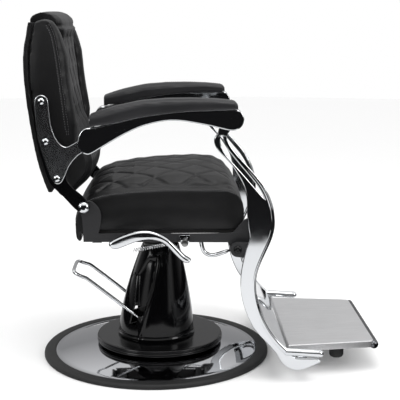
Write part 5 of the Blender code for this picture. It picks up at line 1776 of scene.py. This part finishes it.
    def plate(self) -> None:
        """Fold the footplate: a tapered tray with round corners and a rolled nose."""
        low, high = (np.array(corner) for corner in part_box("footplate"))
        top, foot = high[2], high[2] - self.plate_thickness
        back_half, front_half = self.plate_half_widths
        corner = self.plate_corner
        nose_x = high[0] - self.nose_radius
        sides = []
        for outward in (1.0, -1.0):
            bend = [(nose_x - corner + corner * sin(a), outward * (front_half - corner + corner * cos(a)))
                    for a in np.linspace(0.0, pi / 2, 7)]
            rear = [(low[0] + 0.003 - 0.003 * sin(a), outward * (back_half - 0.003 + 0.003 * cos(a)))
                    for a in np.linspace(pi / 2, 0.0, 4)]
            run = [*rear, *bend]
            sides.append(run if outward > 0 else run[::-1])
        tray = rounded_plate("tray", [[*sides[0], *sides[1]]], foot, top, 0.0035, BRUSHED, normal=Axis.Z)
        half = front_half - 0.010
        # The rolled nose wears chrome darkened as a painted dark reflection.
        nose = sweep("nose", np.linspace((nose_x, -half, top - self.nose_radius),
                                         (nose_x, half, top - self.nose_radius), 20),
                     self.nose_radius, NOSE_CHROME_PAINTED_DARK, sides=28)
        stand_for(merge("folded_footplate", [tray, nose]), "footplate")


def front_reach(line: np.ndarray) -> float:
    """Return how far forward a stretch of outline reaches between seat and knee."""
    return float(line[line[:, 1] > 0.4][:, 0].mean()) if (line[:, 1] > 0.4).any() else -1.0


# ---------------------------------------------------------------- recline lever and lock
@dataclass
class LeverGroup:
    """The recline lever with its pin and return spring, and the rod of the lock."""

    edge: float = 0.0075
    thickness: float = 0.022
    turns: float = 15.5
    wire: float = 0.00095

    def build(self) -> None:
        """Make the lever, the spring and the lock's rod."""
        node = "recline_lever"
        low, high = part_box(node)
        loops = [soften(loop) for loop in outlines(node, -1.0)[:1]]
        outer = low[1] + min(high[1] - low[1], self.thickness)
        handle = rounded_plate("polished_handle", loops, low[1], outer, self.edge, CHROME, steps=6)
        stand_for(handle, node)
        refine("lever_pin", STEEL, edge=0.0004)
        refine("lock_rod", CHROME, edge=0.0004)
        self.spring()

    def spring(self) -> None:
        """Wind the return spring between its two anchors."""
        node = "lever_spring"
        mesh = node_mesh(node)
        rows = np.array([v.co[:] for v in mesh.verts])
        mesh.free()
        rear = rows[rows[:, 0] < rows[:, 0].mean()].mean(axis=0)
        front = rows[rows[:, 0] >= rows[:, 0].mean()].mean(axis=0)
        radius = (rows[:, 1].max() - rows[:, 1].min()) / 2
        run = Vector(front) - Vector(rear)
        coil = grow("wound_spring", coil_tree(), bpy.data.meshes.new("spring"),
                    {"Turns": self.turns, "Coil Radius": radius - self.wire, "Length": run.length,
                     "Wire Radius": self.wire}, SPRING_STEEL)
        turn = run.to_track_quat("X", "Z").to_matrix().to_4x4()
        shift(coil, Matrix.Translation(Vector(rear)) @ turn)
        stand_for(coil, node)


def main() -> None:
    """Build the studio and every group of the chair, in order."""
    logging.basicConfig(level=logging.INFO, format="%(name)s: %(message)s")
    Studio().build()
    for group in (PumpBase(), PedalAndRam(), SeatGroup(), BackGroup(), ArmGroup(), FootrestGroup(), LeverGroup()):
        LOG.info("building %s", type(group).__name__)
        group.build()


if __name__ == "__main__":
    main()
